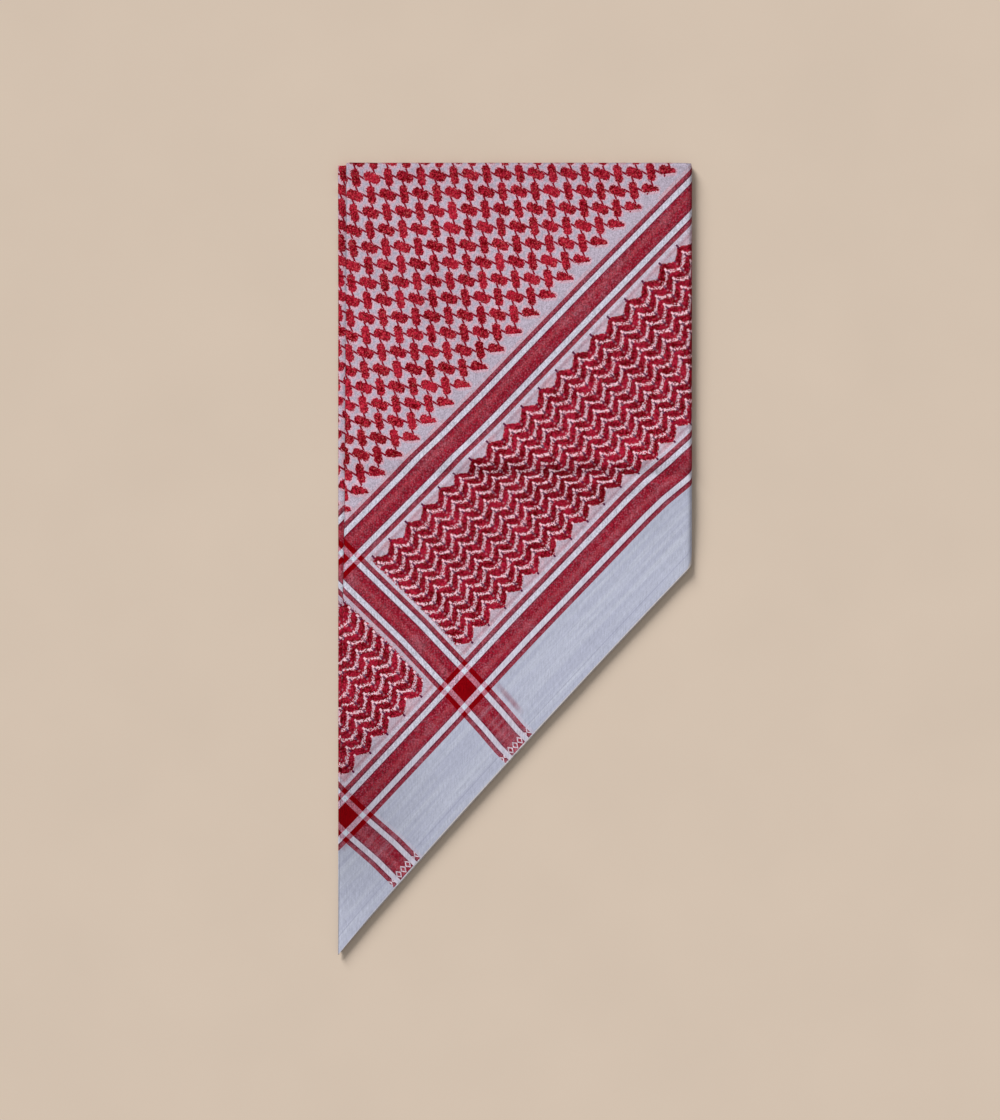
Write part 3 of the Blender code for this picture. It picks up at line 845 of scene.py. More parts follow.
def node(tree, kind, *inputs, output=0, stops=(), **settings):
    """Add a node with its settings, stops, values and links, and return one of its outputs.

    kind may end with the node's operation or data type. inputs fill the sockets that are in use,
    in their order. A setting with a capital is a socket's name.
    """
    kind, *choice = kind.split()
    made = tree.nodes.new("ShaderNode" + kind)
    for value in choice:
        setattr(made, "data_type" if kind == "Mix" else "operation", value)
    named = {name: value for name, value in settings.items() if name[0].isupper()}
    for name, value in settings.items():
        if name not in named:
            setattr(made, name, value)
    values = list(zip([socket for socket in made.inputs if socket.enabled], inputs))
    values += [(made.inputs[name], value) for name, value in named.items()]
    if stops:
        made.color_ramp.interpolation = stops[0]
        ramp = made.color_ramp.elements
        while len(ramp) < len(stops) - 1:
            ramp.new(1.0)
        for element, (place, colour) in zip(ramp, stops[1:]):
            element.position = place
            element.color = colour
    for socket, value in values:
        if isinstance(value, bpy.types.NodeSocket):
            tree.links.new(value, socket)
        else:
            socket.default_value = value
    return [socket for socket in made.outputs if socket.enabled][output]


def within(add, *ranges):
    """1 where each value lies within half of its middle, from (value, middle, half)."""
    inside = [add("Math COMPARE", *part) for part in ranges]
    both = inside[0]
    for part in inside[1:]:
        both = add("Math MULTIPLY", both, part)
    return both


# ---------------------------------------------------------------------------------------------
# The weave, as parts of one material.
def stripe_state(add, place, outer, inner, folded, looks):
    """Redness, cover, pale line, tint and distance of the two bands that cross one axis.

    The distance is from the middle of the nearer band. It grows away from the hem, or, when
    folded, towards the border that lies between the bands.
    """
    near = add("Math SUBTRACT", FAR_HEM, place)
    near = add("Math MINIMUM", near, place)
    away = add("Math SUBTRACT", near, outer)
    if folded:
        back = add("Math SUBTRACT", inner, near)
        away = add("Math MINIMUM", away, back)
    else:
        past = add("Math GREATER_THAN", near, (outer + inner) / 2.0)
        away = add("Math MULTIPLY_ADD", past, outer - inner, away)
    scaled = add("MapRange", away, -RAMP_REACH, RAMP_REACH, 0.0, 1.0)
    red, pale, none = (1.0, 1.0, 0.0, 1.0), (0.0, 1.0, 0.0, 1.0), (0.0, 0.0, 0.0, 1.0)
    line = (0.0, 0.0, 1.0, 1.0)
    edges = ((-RAMP_REACH, none), (-STRIPE_THIN, red), (-STRIPE_WHITE, pale), (-STRIPE_THICK, red),
             (STRIPE_THICK, pale), (STRIPE_WHITE, red), (STRIPE_THIN, line), (STRIPE_LINE, none))
    spread = 0.5 / RAMP_REACH
    state = add("ValToRGB", scaled,
                stops=("CONSTANT", *((0.5 + place * spread, value) for place, value in edges)))
    tone = add("ValToRGB", scaled,
               stops=("LINEAR", *((0.5 + stop.place * spread, getattr(looks, stop.tint))
                                  for stop in STRIPE_TONES)))
    parts = add("SeparateColor", state).node
    return Stripes(parts.outputs["Red"], parts.outputs["Green"], parts.outputs["Blue"], tone, away)


def band_colour(add, first, second, looks):
    """Colour and cover of the striped bands. Where two cross, it is the mixture of both threads."""
    kind = add("Math MULTIPLY_ADD", second.redness, 2.0, first.redness)
    kind = add("Math MULTIPLY", kind, 1.0 / 3.0)
    crossed = add("ValToRGB", kind,
                  stops=("CONSTANT", (0.0, looks.crossed_white), (0.2, looks.crossed_pink),
                         (0.5, looks.crossed_rose), (0.8, looks.crossed_red)))
    single = add("Mix RGBA", first.cover, second.tint, first.tint)
    both = add("Math MULTIPLY", first.cover, second.cover)
    colour = add("Mix RGBA", both, single, crossed)
    cover = add("Math MAXIMUM", first.cover, second.cover)
    return colour, cover


def woven_diamonds(add, stripes, inward):
    """Pale outlines of the small diamonds at the hem end of the bands that cross the hem."""
    cell = add("Math WRAP", stripes.away, DIAMOND_HALF, -DIAMOND_HALF)
    cell = add("Math ABSOLUTE", cell)
    cell = add("Math DIVIDE", cell, DIAMOND_HALF)
    tall = add("Math SUBTRACT", inward, DIAMOND_ROW[0])
    tall = add("Math ABSOLUTE", tall)
    total = add("Math MULTIPLY_ADD", tall, 1.0 / DIAMOND_ROW[1], cell)
    line = within(add, (total, *DIAMOND_LINE), (inward, *DIAMOND_ROW))
    return add("Math MULTIPLY", line, stripes.redness)


def lobes(add, x, y, figure):
    """Distance from a slanting row of three lobes, raised to the fourth; 1 at their edge."""
    reach = math.hypot(figure.step_x, figure.step_y)
    along = add("Math MULTIPLY", x, figure.step_x / reach)
    along = add("Math MULTIPLY_ADD", y, figure.step_y / reach, along)
    across = add("Math MULTIPLY", x, figure.step_y / reach)
    across = add("Math MULTIPLY_ADD", y, -figure.step_x / reach, across)
    count = add("Math DIVIDE", along, reach)
    count = add("Math ROUND", count)
    count = add("Clamp", count, -1.0, 1.0)
    local = add("Math MULTIPLY_ADD", count, -reach, along)
    oval = (FIGURE_LENGTH, figure.width * FIGURE_SWELL)
    squares = []
    for value, size in ((local, figure.lobe), (across, figure.width), (along, oval[0]),
                        (across, oval[1])):
        scaled = add("Math DIVIDE", value, size)
        squares.append(add("Math MULTIPLY", scaled, scaled))
    fourths = [add("Math MULTIPLY", square, square) for square in squares[:2]]
    lobe = add("Math ADD", *fourths)
    whole = add("Math ADD", *squares[2:])
    whole = add("Math MULTIPLY", whole, whole)
    return add("Math MAXIMUM", lobe, whole)


def thread_line(add, x, y, line):
    """1 on a thin slanting line of single threads."""
    centre = add("Math MULTIPLY_ADD", y, line.lean, line.across)
    away = add("Math SUBTRACT", x, centre)
    middle = (line.low + line.high) / 2.0
    return within(add, (away, 0.0, line.half), (y, middle, (line.high - line.low) / 2.0))


def field_figures(add, along, inward, joins_end, threads, looks):
    """Colour of the field: two slanting figures in each repeat, joined by single threads."""
    forms = []
    tones = []
    for offset, figure in ((0.0, LYING_FIGURE), (0.5, STANDING_FIGURE)):
        parts = []
        counts = []
        for place, size in zip((along, inward), CELL):
            moved = add("Math SUBTRACT", place, offset)
            row = add("Math ROUND", moved)
            counts.append(row)
            part = add("Math SUBTRACT", moved, row)
            parts.append(add("Math MULTIPLY", part, size))
        number = add("CombineXYZ", *counts, offset)
        tones.append(add("TexWhiteNoise", number))
        form = lobes(add, *parts, figure)
        beyond = add("Math LESS_THAN", row, LAST_FIGURES - 0.5)
        form = add("Math MULTIPLY_ADD", beyond, 100.0, form)
        if figure is LYING_FIGURE:
            last = add("Math COMPARE", row, LAST_FIGURES, 0.5)
            taper = add("Math MULTIPLY_ADD", parts[0], TAPER[0], TAPER[2])
            taper = add("Math MULTIPLY_ADD", parts[1], TAPER[1], taper)
            taper = add("Math MULTIPLY", taper, last)
            form = add("Math MAXIMUM", form, taper)
            side = add("Math SIGN", parts[0])
            folded = [add("Math MULTIPLY", part, side) for part in parts]
            joins = [thread_line(add, *folded, line) for line in JOINING_LINES]
            joined = add("Math MAXIMUM", *joins)
        forms.append(form)
    nearest = add("Math MINIMUM", *forms)
    rough = add("Math SUBTRACT", threads.crossing, 0.5)
    edge = add("Math MULTIPLY_ADD", rough, FIGURE_ROUGHNESS, nearest)
    scaled = add("Math MULTIPLY", edge, 1.0 / FIGURE_REACH)
    first = add("Math LESS_THAN", *forms)
    tone = add("Mix", first, tones[1], tones[0])
    tone = add("MapRange", tone, 0.0, 1.0, 0.4, 0.66)
    tone = add("Mix", 0.5, tone, threads.broad)
    red = red_threads(add, threads._replace(broad=tone), "figure", FIELD_FLECKS, looks)
    rim = add("ValToRGB", scaled,
              stops=("LINEAR", (0.0, looks.figure_edge), (0.9 / FIGURE_REACH, looks.figure_edge),
                     (1.25 / FIGURE_REACH, looks.rim), (2.1 / FIGURE_REACH, looks.rim),
                     (1.0, looks.ground)))
    inside = add("MapRange", edge, 0.75, 1.0, 1.0, 0.0)
    colour = add("Mix RGBA", inside, rim, red)
    outside = add("Math GREATER_THAN", nearest, 1.0)
    joined = add("Math MULTIPLY", joined, outside)
    joined = add("Math MULTIPLY", joined, joins_end)
    return add("Mix RGBA", joined, colour, looks.join_red)


def red_threads(add, threads, kind, flecks, looks):
    """Red cotton: deep and lighter threads side by side, with paler worn places and flecks, and
    painted shade and highlight at the packing crease.
    """
    worn = add("MapRange", threads.broad, 0.48, 0.68, 0.0, 0.5)
    lit = add("MapRange", threads.fine, 0.25, 1.0, 0.0, 0.95)
    lit = add("Math ADD", lit, worn)
    # Painted shade and highlight of the packing crease.
    lit = add("Math MULTIPLY", lit, threads.crease)
    red = add("Mix RGBA", lit, getattr(looks, kind + "_red"), getattr(looks, kind + "_light"))
    fleck = add("MapRange", threads.crossing, 0.8, 1.0, 0.0, flecks)
    return add("Mix RGBA", fleck, red, looks.fleck)


def border_figures(add, along, inward, threads, looks):
    """Colour and cover of the border: rows of chevrons between white zigzag lines."""
    whole = add("Math ROUND", along)
    fold = add("Math SUBTRACT", along, whole)
    across = add("Math ABSOLUTE", fold)
    rows = add("Math MULTIPLY", inward, 2.0)
    rise = add("Math MULTIPLY_ADD", across, ZIGZAG.bend, ZIGZAG.slope)
    rise = add("Math MULTIPLY_ADD", rise, across, ZIGZAG.peak)
    level = add("Math SUBTRACT", rows, rise)
    nearest = add("Math ROUND", level)
    from_line = add("Math SUBTRACT", level, nearest)
    away = add("Math ABSOLUTE", from_line)
    # The leaves are thickest half way along, and thicker on the side that falls away.
    mid = add("Math SUBTRACT", across, 0.25)
    mid = add("Math MULTIPLY", mid, mid)
    side = add("Math LESS_THAN", fold, 0.0)
    half = add("Math MULTIPLY_ADD", side, ZIGZAG_RISING, ZIGZAG_HALF)
    half = add("Math MULTIPLY_ADD", mid, ZIGZAG_SWELL, half)
    rough = add("Math SUBTRACT", threads.crossing, 0.5)
    away = add("Math MULTIPLY_ADD", rough, BORDER_ROUGHNESS, away)
    depth = add("Math SUBTRACT", away, half)
    depth = add("MapRange", depth, -0.02, 0.04, 0.0, 1.0)
    line = add("Mix RGBA", side, looks.zigzag, looks.zigzag_shade)
    red = red_threads(add, threads, "border", BORDER_FLECKS, looks)
    colour = add("Mix RGBA", depth, line, red)
    # Single threads and painted shadow at the turns: a pale spike and a dark dash of painted shadow
    # at each peak, and a pale spot and a dark dash of painted shadow at each valley.
    turned = add("Math SUBTRACT", 0.5, across)
    for place, mark, ink in ((across, PEAK_SPIKE, looks.zigzag), (across, PEAK_SHADOW, looks.dash),
                             (turned, VALLEY_SPOT, looks.spot), (turned, VALLEY_SHADOW, looks.dash)):
        offset = add("Math SUBTRACT", from_line, mark.level)
        offset = add("Math WRAP", offset, 0.5, -0.5)
        here = within(add, (offset, 0.0, mark.reach), (place, 0.0, mark.half))
        here = add("Math MULTIPLY", here, mark.strength)
        colour = add("Mix RGBA", here, colour, ink)
    middle = (BORDER_ROWS[0] + BORDER_ROWS[1]) / 2.0
    inside = within(add, (level, middle, (BORDER_ROWS[1] - BORDER_ROWS[0]) / 2.0))
    # Painted shadow as dark dashes at the turns just outside the first and the last row.
    ticks = [within(add, (level, *VALLEY_TICK), (turned, 0.0, TICK_HALF)),
             within(add, (level, *PEAK_TICK), (across, 0.0, TICK_HALF))]
    ticks = add("Math MAXIMUM", *ticks)
    colour = add("Mix RGBA", ticks, colour, looks.dash)
    return colour, add("Math MAXIMUM", inside, ticks)


def woven_cotton(name, looks, margin="margin"):
    """Soft woven cotton: a pale warp and weft with deep red figures, dull, with a faint bloom."""
    material = bpy.data.materials.new(name)
    material.use_nodes = True
    tree = material.node_tree
    add = partial(node, tree)
    shader = tree.nodes["Principled BSDF"]
    cloth = add("SeparateXYZ", add("UVMap", uv_map="cloth")).node
    along, inward = cloth.outputs["X"], cloth.outputs["Y"]
    figures = add("SeparateXYZ", add("UVMap", uv_map="repeats")).node
    place = add("CombineXYZ", along, inward, 0.0)
    # Painted shade that each sheet carries in its points.
    shade = add("Attribute", attribute_name="shade", output=2)

    # Threads: a value for each drawn thread crossing, and one for each end and each pick. They are
    # drawn about twice as coarse as real ones, so that they show.
    threads = add("VectorMath MULTIPLY", place, (1.0 / looks.thread, 1.0 / looks.thread, 1.0))
    crossing = add("TexWhiteNoise", add("VectorMath FLOOR", threads))
    streaks = []
    for stretch in ((0.02, 1.0, 0.0), (1.0, 0.02, 0.0)):
        stretched = add("VectorMath MULTIPLY", threads, stretch)
        streaks.append(add("TexNoise", stretched, 0.8, 2.0, 0.6))
    streak = add("Math MULTIPLY_ADD", streaks[1], 0.4, streaks[0])
    fine = add("VectorMath MULTIPLY", place, (1.0 / looks.red_thread, 1.0 / looks.red_thread, 1.0))
    fine = add("TexWhiteNoise", add("VectorMath FLOOR", fine))
    broad = add("TexNoise", place, BROAD_SCALE, 1.0)
    # Painted shade on the reds below the packing crease, and a painted highlight on its crest above.
    rise = add("Math MULTIPLY", along, CREASE_LEAN[0])
    rise = add("Math MULTIPLY_ADD", inward, CREASE_LEAN[1], rise)
    rise = add("MapRange", rise, *CREASE_REACH, 0.0, 1.0)
    spread = 1.0 / (CREASE_REACH[1] - CREASE_REACH[0])
    crease = add("ValToRGB", rise,
                 stops=("B_SPLINE",
                        *(((level - CREASE_REACH[0]) * spread, (bright, bright, bright, 1.0))
                          for level, bright in CREASE_REDS)))
    crease = add("Math MULTIPLY", crease, 2.0)
    threads = Threads(crossing, fine, broad, crease)
    ribs = add("VectorRotate", Vector=place, Angle=math.pi / 4.0, rotation_type="Z_AXIS")
    ribs = add("VectorMath MULTIPLY", ribs, (1.0 / looks.rib_width, 1.0 / looks.rib_length, 0.0))
    ribs = add("TexNoise", ribs, 1.0, 1.0)
    ribs = add("Math SUBTRACT", ribs, 0.5)
    mottle = add("TexNoise", place, MOTTLE_SCALE, 4.0, 0.65)

    # Figures.
    stepped = add("Math MULTIPLY", figures.outputs["X"], ENDS)
    stepped = add("Math FLOOR", stepped)
    stepped = add("Math ADD", stepped, 0.5)
    stepped = add("Math MULTIPLY", stepped, 1.0 / ENDS)
    border, in_rows = border_figures(add, stepped, figures.outputs["Y"], threads, looks)

    # Where each pattern lies.
    first = stripe_state(add, along, OUTER_BAND.corner_side, INNER_BAND.corner_side, False, looks)
    second = stripe_state(add, inward, OUTER_BAND.hem_side, INNER_BAND.hem_side, True, looks)
    from_hem = add("Math GREATER_THAN", inward, BAND_END)
    first = first._replace(cover=add("Math MULTIPLY", first.cover, from_hem))
    in_field, joins_end = [add("Math GREATER_THAN", inward, INNER_BAND.hem_side + start)
                           for start in (FIELD_START - FIELD_MARGIN, FIELD_START)]
    field = field_figures(add, figures.outputs["X"], figures.outputs["Y"], joins_end, threads,
                          looks)
    past = add("Math GREATER_THAN", along, OUTER_BAND.corner_side + BORDER_START)
    apart = add("Math ABSOLUTE", first.away)
    ragged = add("Math MULTIPLY_ADD", crossing, -0.003, BORDER_START + 0.0015)
    apart = add("Math GREATER_THAN", apart, ragged)
    in_border = add("Math MULTIPLY", in_rows, past)
    in_border = add("Math MULTIPLY", in_border, apart)
    in_margin = add("Math LESS_THAN", inward, OUTER_BAND.hem_side)
    before = add("Math LESS_THAN", along, OUTER_BAND.corner_side)
    in_margin = add("Math MAXIMUM", in_margin, before)

    tinted = add("MapRange", mottle, 0.4, 0.66, 0.0, 1.0)
    ground = add("Mix RGBA", tinted, looks.ground, looks.ground_pink)
    # The margin's picks run along the hem in long pale streaks, which also fade the bands there.
    long = add("VectorMath MULTIPLY", place, MARGIN_PICKS)
    long = add("TexNoise", long, 1.0, 3.0, 0.55)
    long = add("MapRange", long, 0.42, 0.72, 0.0, 0.6)
    plain = add("Mix RGBA", long, getattr(looks, margin), looks.margin_light)
    turning = add("Math COMPARE", inward, *HEM_TURNING)
    turning = add("Math MULTIPLY", turning, 0.5)
    plain = add("Mix RGBA", turning, plain, looks.hem_line)
    cord = add("Math LESS_THAN", inward, SELVEDGE)
    worn = add("MapRange", along, *CORD_WEAR)
    cord = add("Math MULTIPLY", cord, worn)
    plain = add("Mix RGBA", cord, plain, looks.hem_cream)
    smears = []
    for spot in STRAY_THREADS:
        soft = []
        for value, (middle, half) in zip((along, inward), spot):
            apart = add("Math SUBTRACT", value, middle)
            apart = add("Math ABSOLUTE", apart)
            soft.append(add("MapRange", apart, 0.4 * half, 1.3 * half, 1.0, 0.0))
        smears.append(add("Math MULTIPLY", *soft))
    stray = add("Math ADD", *smears)
    stray = add("Math MULTIPLY", stray, mottle)
    plain = add("Mix RGBA", stray, plain, looks.thin_red)
    ground = add("Mix RGBA", in_margin, ground, plain)
    lines = add("Math MAXIMUM", first.line, second.line)
    dim = add("Math MULTIPLY_ADD", in_margin, -0.6, 1.0)
    lines = add("Math MULTIPLY", lines, dim)
    ground = add("Mix RGBA", lines, ground, looks.band_line)
    rose = add("Math SUBTRACT", second.away, ROSE_LINE[0])
    rose = add("Math ABSOLUTE", rose)
    rose = add("MapRange", rose, 0.0, *ROSE_LINE[1:], 0.0)
    ground = add("Mix RGBA", rose, ground, looks.thin_red)
    colour = add("Mix RGBA", in_border, ground, border)
    colour = add("Mix RGBA", in_field, colour, field)
    bands, cover = band_colour(add, first, second, looks)
    redness = add("Math SUBTRACT", first.redness, second.redness)
    redness = add("Math ABSOLUTE", redness)
    fleck = add("MapRange", fine, 0.55, 1.0, 0.0, RED_FLECK)
    patch = add("MapRange", mottle, 0.52, 0.75, 0.0, RED_FLECK)
    fleck = add("Math ADD", fleck, patch)
    fleck = add("Math MULTIPLY", fleck, redness)
    bands = add("Mix RGBA", fleck, bands, looks.crossed_pink)
    by_hem = add("MapRange", inward, 0.075, 0.085, 0.5, 0.0)
    faded = add("Math MULTIPLY", long, by_hem)
    bands = add("Mix RGBA", faded, bands, looks.crossed_pink)
    diamonds = woven_diamonds(add, first, inward)
    bands = add("Mix RGBA", diamonds, bands, looks.stripe_rim)
    colour = add("Mix RGBA", cover, colour, bands)

    # Light and dark threads, darkened by the painted shade that the sheets carry.
    speckle = add("Math MULTIPLY_ADD", in_margin, MARGIN_SPECKLE - SPECKLE, SPECKLE)
    speckle = add("Math MULTIPLY_ADD", redness, RED_SPECKLE, speckle)
    light = add("Math SUBTRACT", crossing, 0.5)
    light = add("Math MULTIPLY_ADD", light, speckle, 1.0)
    deep = add("Math MULTIPLY_ADD", cover, HATCH, HATCH)
    light = add("Math MULTIPLY_ADD", ribs, deep, light)
    streak = add("Math SUBTRACT", streak, 0.7)
    light = add("Math MULTIPLY_ADD", streak, STREAK, light)
    # Painted shade of the crease, the foot, the top fold and the rolled edges.
    light = add("Math MULTIPLY", light, shade)
    grey = add("CombineXYZ", light, light, light)
    colour = add("Mix RGBA", 1.0, colour, grey, blend_type="MULTIPLY")
    tree.links.new(colour, shader.inputs["Base Color"])
    shader.inputs["Roughness"].default_value = 0.86
    shader.inputs["Specular IOR Level"].default_value = 0.02
    shader.inputs["Sheen Weight"].default_value = 0.01
    shader.inputs["Sheen Roughness"].default_value = 0.45

    # Relief of the threads.
    height = add("Math MULTIPLY_ADD", ribs, 2.0, crossing)
    bump = add("Bump", Strength=0.15, Distance=looks.relief, Height=height)
    tree.links.new(bump, shader.inputs["Normal"])
    return material


# ---------------------------------------------------------------------------------------------
# The add-on.
def tint(name, description, code):
    """A colour setting with an sRGB hex default."""
    return FloatVectorProperty(name=name, description=description, size=4, subtype="COLOR",
                               min=0.0, max=1.0, default=linear(code))


def length(name, description, default):
    """A size setting in metres."""
    return FloatProperty(name=name, description=description, default=default, min=0.0,
                         precision=5, unit="LENGTH")


class KeffiyehSettings(bpy.types.PropertyGroup):
    """Sizes and colours of the woven cotton and the stage."""

    wall: length("Wall", "Thickness of the front cloth", 0.0010)
    thread: length("Thread spacing", "Spacing of the threads as they are drawn", 0.00129)
    red_thread: length("Red thread", "Length of a red float as it is drawn", 0.0015)
    rib_width: length("Rib width", "Width of the slanting ribs of the weave", 0.0016)
    rib_length: length("Rib length", "Length of those ribs", 0.0110)
    relief: length("Relief", "Height of the threads", 0.0003)
    floor_size: length("Floor", "Length of the floor's sides", 12.0)
    view_height: length("View", "Height of what the camera sees", 1.40)
    key_softness: FloatProperty(name="Light softness", description="Angle that the main light fills",
                                default=math.radians(26.0), min=0.0, unit="ROTATION")

    white: tint("White thread", "Middle of the white stripes", "C6C5D4")
    stripe_rim: tint("White rim", "Whitest threads, beside the red stripes", "D6C6D2")
    stripe_red: tint("Stripe red", "Red stripes over pale threads", "8C1A2C")
    stripe_lit: tint("Lit stripe", "Paler streak beside the middle of a broad stripe", "9A3440")
    stripe_edge: tint("Stripe edge", "Darker edge of the broad stripes", "5C082A")
    thin_red: tint("Thin red", "Thin red stripes", "8B2E3C")
    band_line: tint("Band line", "Pale line beside a band", "C7BCCB")
    crossed_red: tint("Crossed red", "Red threads over red", "820008")
    crossed_pink: tint("Crossed pink", "Red threads over white", "C09CAE")
    crossed_rose: tint("Crossed rose", "White threads under red", "B06878")
    crossed_white: tint("Crossed white", "White threads over white", "CAD0DE")
    border_red: tint("Border red", "Deep red of the herringbone", "5C0004")
    border_light: tint("Lit border red", "Its threads in the light", "AA1C36")
    figure_red: tint("Figure red", "Deep red of the figures", "680006")
    figure_light: tint("Lit red", "Red threads in the light", "BE263C")
    figure_edge: tint("Figure edge", "Edge of the figures", "800E20")
    join_red: tint("Joining red", "Single threads between figures", "861228")
    fleck: tint("Fleck", "Pale threads that show between the red ones", "E0807C")
    rim: tint("Rim", "Pale threads round the figures", "D0A6B4")
    zigzag: tint("Zigzag", "Pale zigzag lines of the border", "FACEDA")
    zigzag_shade: tint("Zigzag shade", "Their duller side", "E4BECC")
    # Painted shadow in the gaps where the threads dive at the zigzag's turns.
    dash: tint("Dash", "Dark single threads at the turns", "56143A")
    spot: tint("Spot", "Pink spots at the inner turns", "D29AAC")
    ground: tint("Ground", "Pale ground between the figures", "B8ACBC")
    ground_pink: tint("Pink ground", "Mottling of the ground", "C8A4B0")
    margin: tint("Margin", "Plain cloth beside the hem", "B0B3C6")
    margin_light: tint("Light margin", "Pale streaks of that cloth", "CACEDA")
    hem_line: tint("Hem line", "Line where the hem's turning ends", "9A9CB2")
    hem_cream: tint("Hem cream", "Edge of the next layer's hem", "C6BEBC")
    floor: tint("Floor", "Pale floor", "D4C2B0")
    key_power: FloatProperty(name="Key light", description="Strength of the main light",
                             default=4.78, min=0.0)
    fill: FloatProperty(name="Fill light", description="Strength of the light from all round",
                        default=0.37, min=0.0)


def lay_piece(sheet, name, node_name, slot, looks, wall=0.0, margin="margin"):
    """Make a sheet into a piece of woven cotton that stands for a node of the frame."""
    thing = sheet.make(name, woven_cotton(slot, looks, margin))
    if wall:
        modifier = thing.modifiers.new("cloth wall", "SOLIDIFY")
        modifier.thickness = wall
        modifier.offset = -1.0
    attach(thing, "root")
    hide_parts(node_name)
    return thing


class OBJECT_OT_front_cloth(bpy.types.Operator):
    """Lay the front cloth over the pile, rolled round its folds"""

    bl_idname = "keffiyeh.front_cloth"
    bl_label = "Front cloth"

    def execute(self, context):
        looks = context.scene.keffiyeh
        thing = lay_piece(front_sheet(), "front_cloth", "front_layer", "face_cotton", looks,
                          looks.wall)
        return {"FINISHED"}


class OBJECT_OT_under_fold(bpy.types.Operator):
    """Lay the back pair's fold along the left"""

    bl_idname = "keffiyeh.under_fold"
    bl_label = "Back pair's fold"

    def execute(self, context):
        thing = lay_piece(under_fold_sheet(), "under_fold_cloth", "left_under_fold",
                          "under_fold_cotton", context.scene.keffiyeh)
        return {"FINISHED"}


class OBJECT_OT_second_hem(bpy.types.Operator):
    """Lay the next layer's hem along the slant"""

    bl_idname = "keffiyeh.second_hem"
    bl_label = "Second hem"

    def execute(self, context):
        thing = lay_piece(second_hem_sheet(), "second_hem_cloth", "second_hem", "hem_cotton",
                          context.scene.keffiyeh, margin="hem_cream")
        return {"FINISHED"}


class OBJECT_OT_inner_cloths(bpy.types.Operator):
    """Lay the layers inside the pile"""

    bl_idname = "keffiyeh.inner_cloths"
    bl_label = "Inner cloths"

    def execute(self, context):
        thing = lay_piece(inner_sheet(), "inner_cloths", "inner_layers", "inner_cotton",
                          context.scene.keffiyeh)
        return {"FINISHED"}


class OBJECT_OT_turned_corner(bpy.types.Operator):
    """Lay the corner that is turned behind"""

    bl_idname = "keffiyeh.turned_corner"
    bl_label = "Turned-back corner"

    def execute(self, context):
        thing = lay_piece(wing_sheet(), "turned_corner", "folded_wing", "wing_cotton",
                          context.scene.keffiyeh)
        return {"FINISHED"}


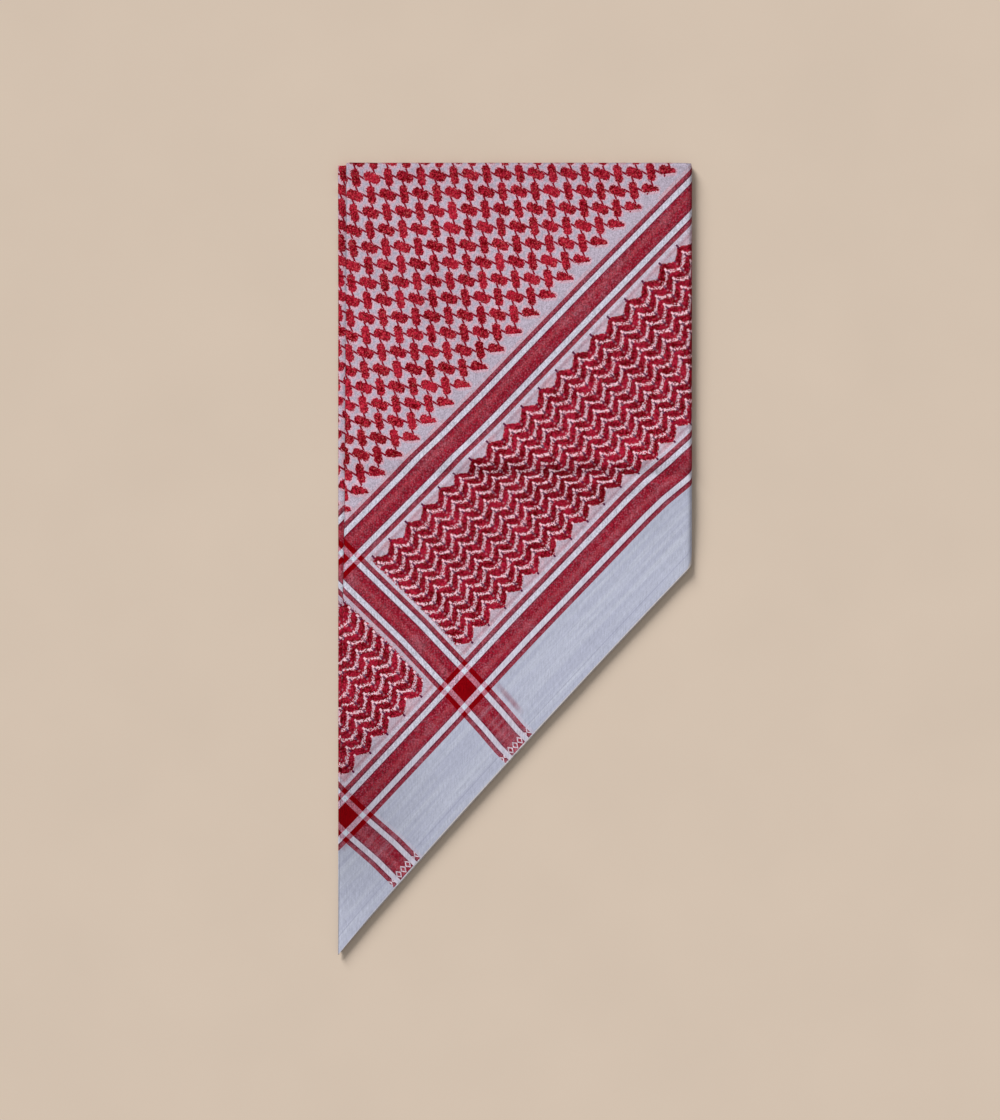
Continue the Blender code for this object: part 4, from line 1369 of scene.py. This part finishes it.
class OBJECT_OT_keffiyeh_stage(bpy.types.Operator):
    """Set the floor, the lights and the camera"""

    bl_idname = "keffiyeh.stage"
    bl_label = "Stage"

    def execute(self, context):
        looks = context.scene.keffiyeh
        bpy.ops.object.select_all(action="DESELECT")
        bpy.ops.mesh.primitive_plane_add(size=looks.floor_size, location=(0.0, 0.0, 0.0))
        floor = context.active_object
        floor.name = "floor"
        paper = bpy.data.materials.new("painted_board")
        paper.use_nodes = True
        tree = paper.node_tree
        add = partial(node, tree)
        shader = tree.nodes["Principled BSDF"]
        place = add("TexCoord", output=3)
        grain = add("TexNoise", place, 6.0, 3.0)
        pale = add("MapRange", grain, 0.3, 0.7, 0.985, 1.015)
        shade = add("CombineXYZ", pale, pale, pale)
        colour = add("Mix RGBA", 1.0, looks.floor, shade, blend_type="MULTIPLY")
        tree.links.new(colour, shader.inputs["Base Color"])
        shader.inputs["Roughness"].default_value = 0.9
        shader.inputs["Specular IOR Level"].default_value = 0.1
        floor.data.materials.append(paper)

        world = bpy.data.worlds.new("studio")
        world.use_nodes = True
        sky = world.node_tree.nodes["Background"]
        sky.inputs["Color"].default_value = linear("FFFFFF")
        sky.inputs["Strength"].default_value = looks.fill
        context.scene.world = world

        light = bpy.data.lights.new("key", "SUN")
        light.angle = looks.key_softness
        light.energy = looks.key_power
        light.color = (1.0, 1.0, 1.0)
        key = bpy.data.objects.new("key", light)
        key.location = KEY_PLACE
        key.rotation_euler = (-Vector(KEY_PLACE)).to_track_quat("-Z", "Y").to_euler()
        context.scene.collection.objects.link(key)

        lens = bpy.data.cameras.new("camera")
        lens.lens = LENS
        lens.sensor_width = SENSOR
        lens.sensor_fit = "AUTO"
        camera = bpy.data.objects.new("camera", lens)
        camera.location = (VIEW_CENTRE[0], VIEW_CENTRE[1],
                           FOUR_LAYERS + looks.view_height * LENS / SENSOR)
        context.scene.collection.objects.link(camera)
        context.scene.camera = camera
        context.scene.view_settings.view_transform = "Standard"
        return {"FINISHED"}


PIECES = (OBJECT_OT_front_cloth, OBJECT_OT_under_fold, OBJECT_OT_second_hem,
          OBJECT_OT_inner_cloths, OBJECT_OT_turned_corner, OBJECT_OT_keffiyeh_stage)


class VIEW3D_PT_keffiyeh(bpy.types.Panel):
    """Lists the pieces and the colours of the scarf"""

    bl_label = "Folded keffiyeh"
    bl_idname = "VIEW3D_PT_keffiyeh"
    bl_space_type = "VIEW_3D"
    bl_region_type = "UI"
    bl_category = "Keffiyeh"

    def draw(self, context):
        looks = context.scene.keffiyeh
        for name in looks.bl_rna.properties.keys():
            if name not in ("rna_type", "name"):
                self.layout.prop(looks, name)
        for piece in PIECES:
            self.layout.operator(piece.bl_idname)


CLASSES = (KeffiyehSettings, *PIECES, VIEW3D_PT_keffiyeh)


def register():
    """Add the classes and the scene's settings."""
    for part in CLASSES:
        bpy.utils.register_class(part)
    bpy.types.Scene.keffiyeh = PointerProperty(type=KeffiyehSettings)


def unregister():
    """Take the classes and the scene's settings away."""
    del bpy.types.Scene.keffiyeh
    for part in reversed(CLASSES):
        bpy.utils.unregister_class(part)


def main():
    """Build the dressed scarf on the frame."""
    register()
    bpy.ops.keffiyeh.stage()
    bpy.ops.keffiyeh.turned_corner()
    bpy.ops.keffiyeh.inner_cloths()
    bpy.ops.keffiyeh.second_hem()
    bpy.ops.keffiyeh.under_fold()
    bpy.ops.keffiyeh.front_cloth()


if __name__ == "__main__":
    main()
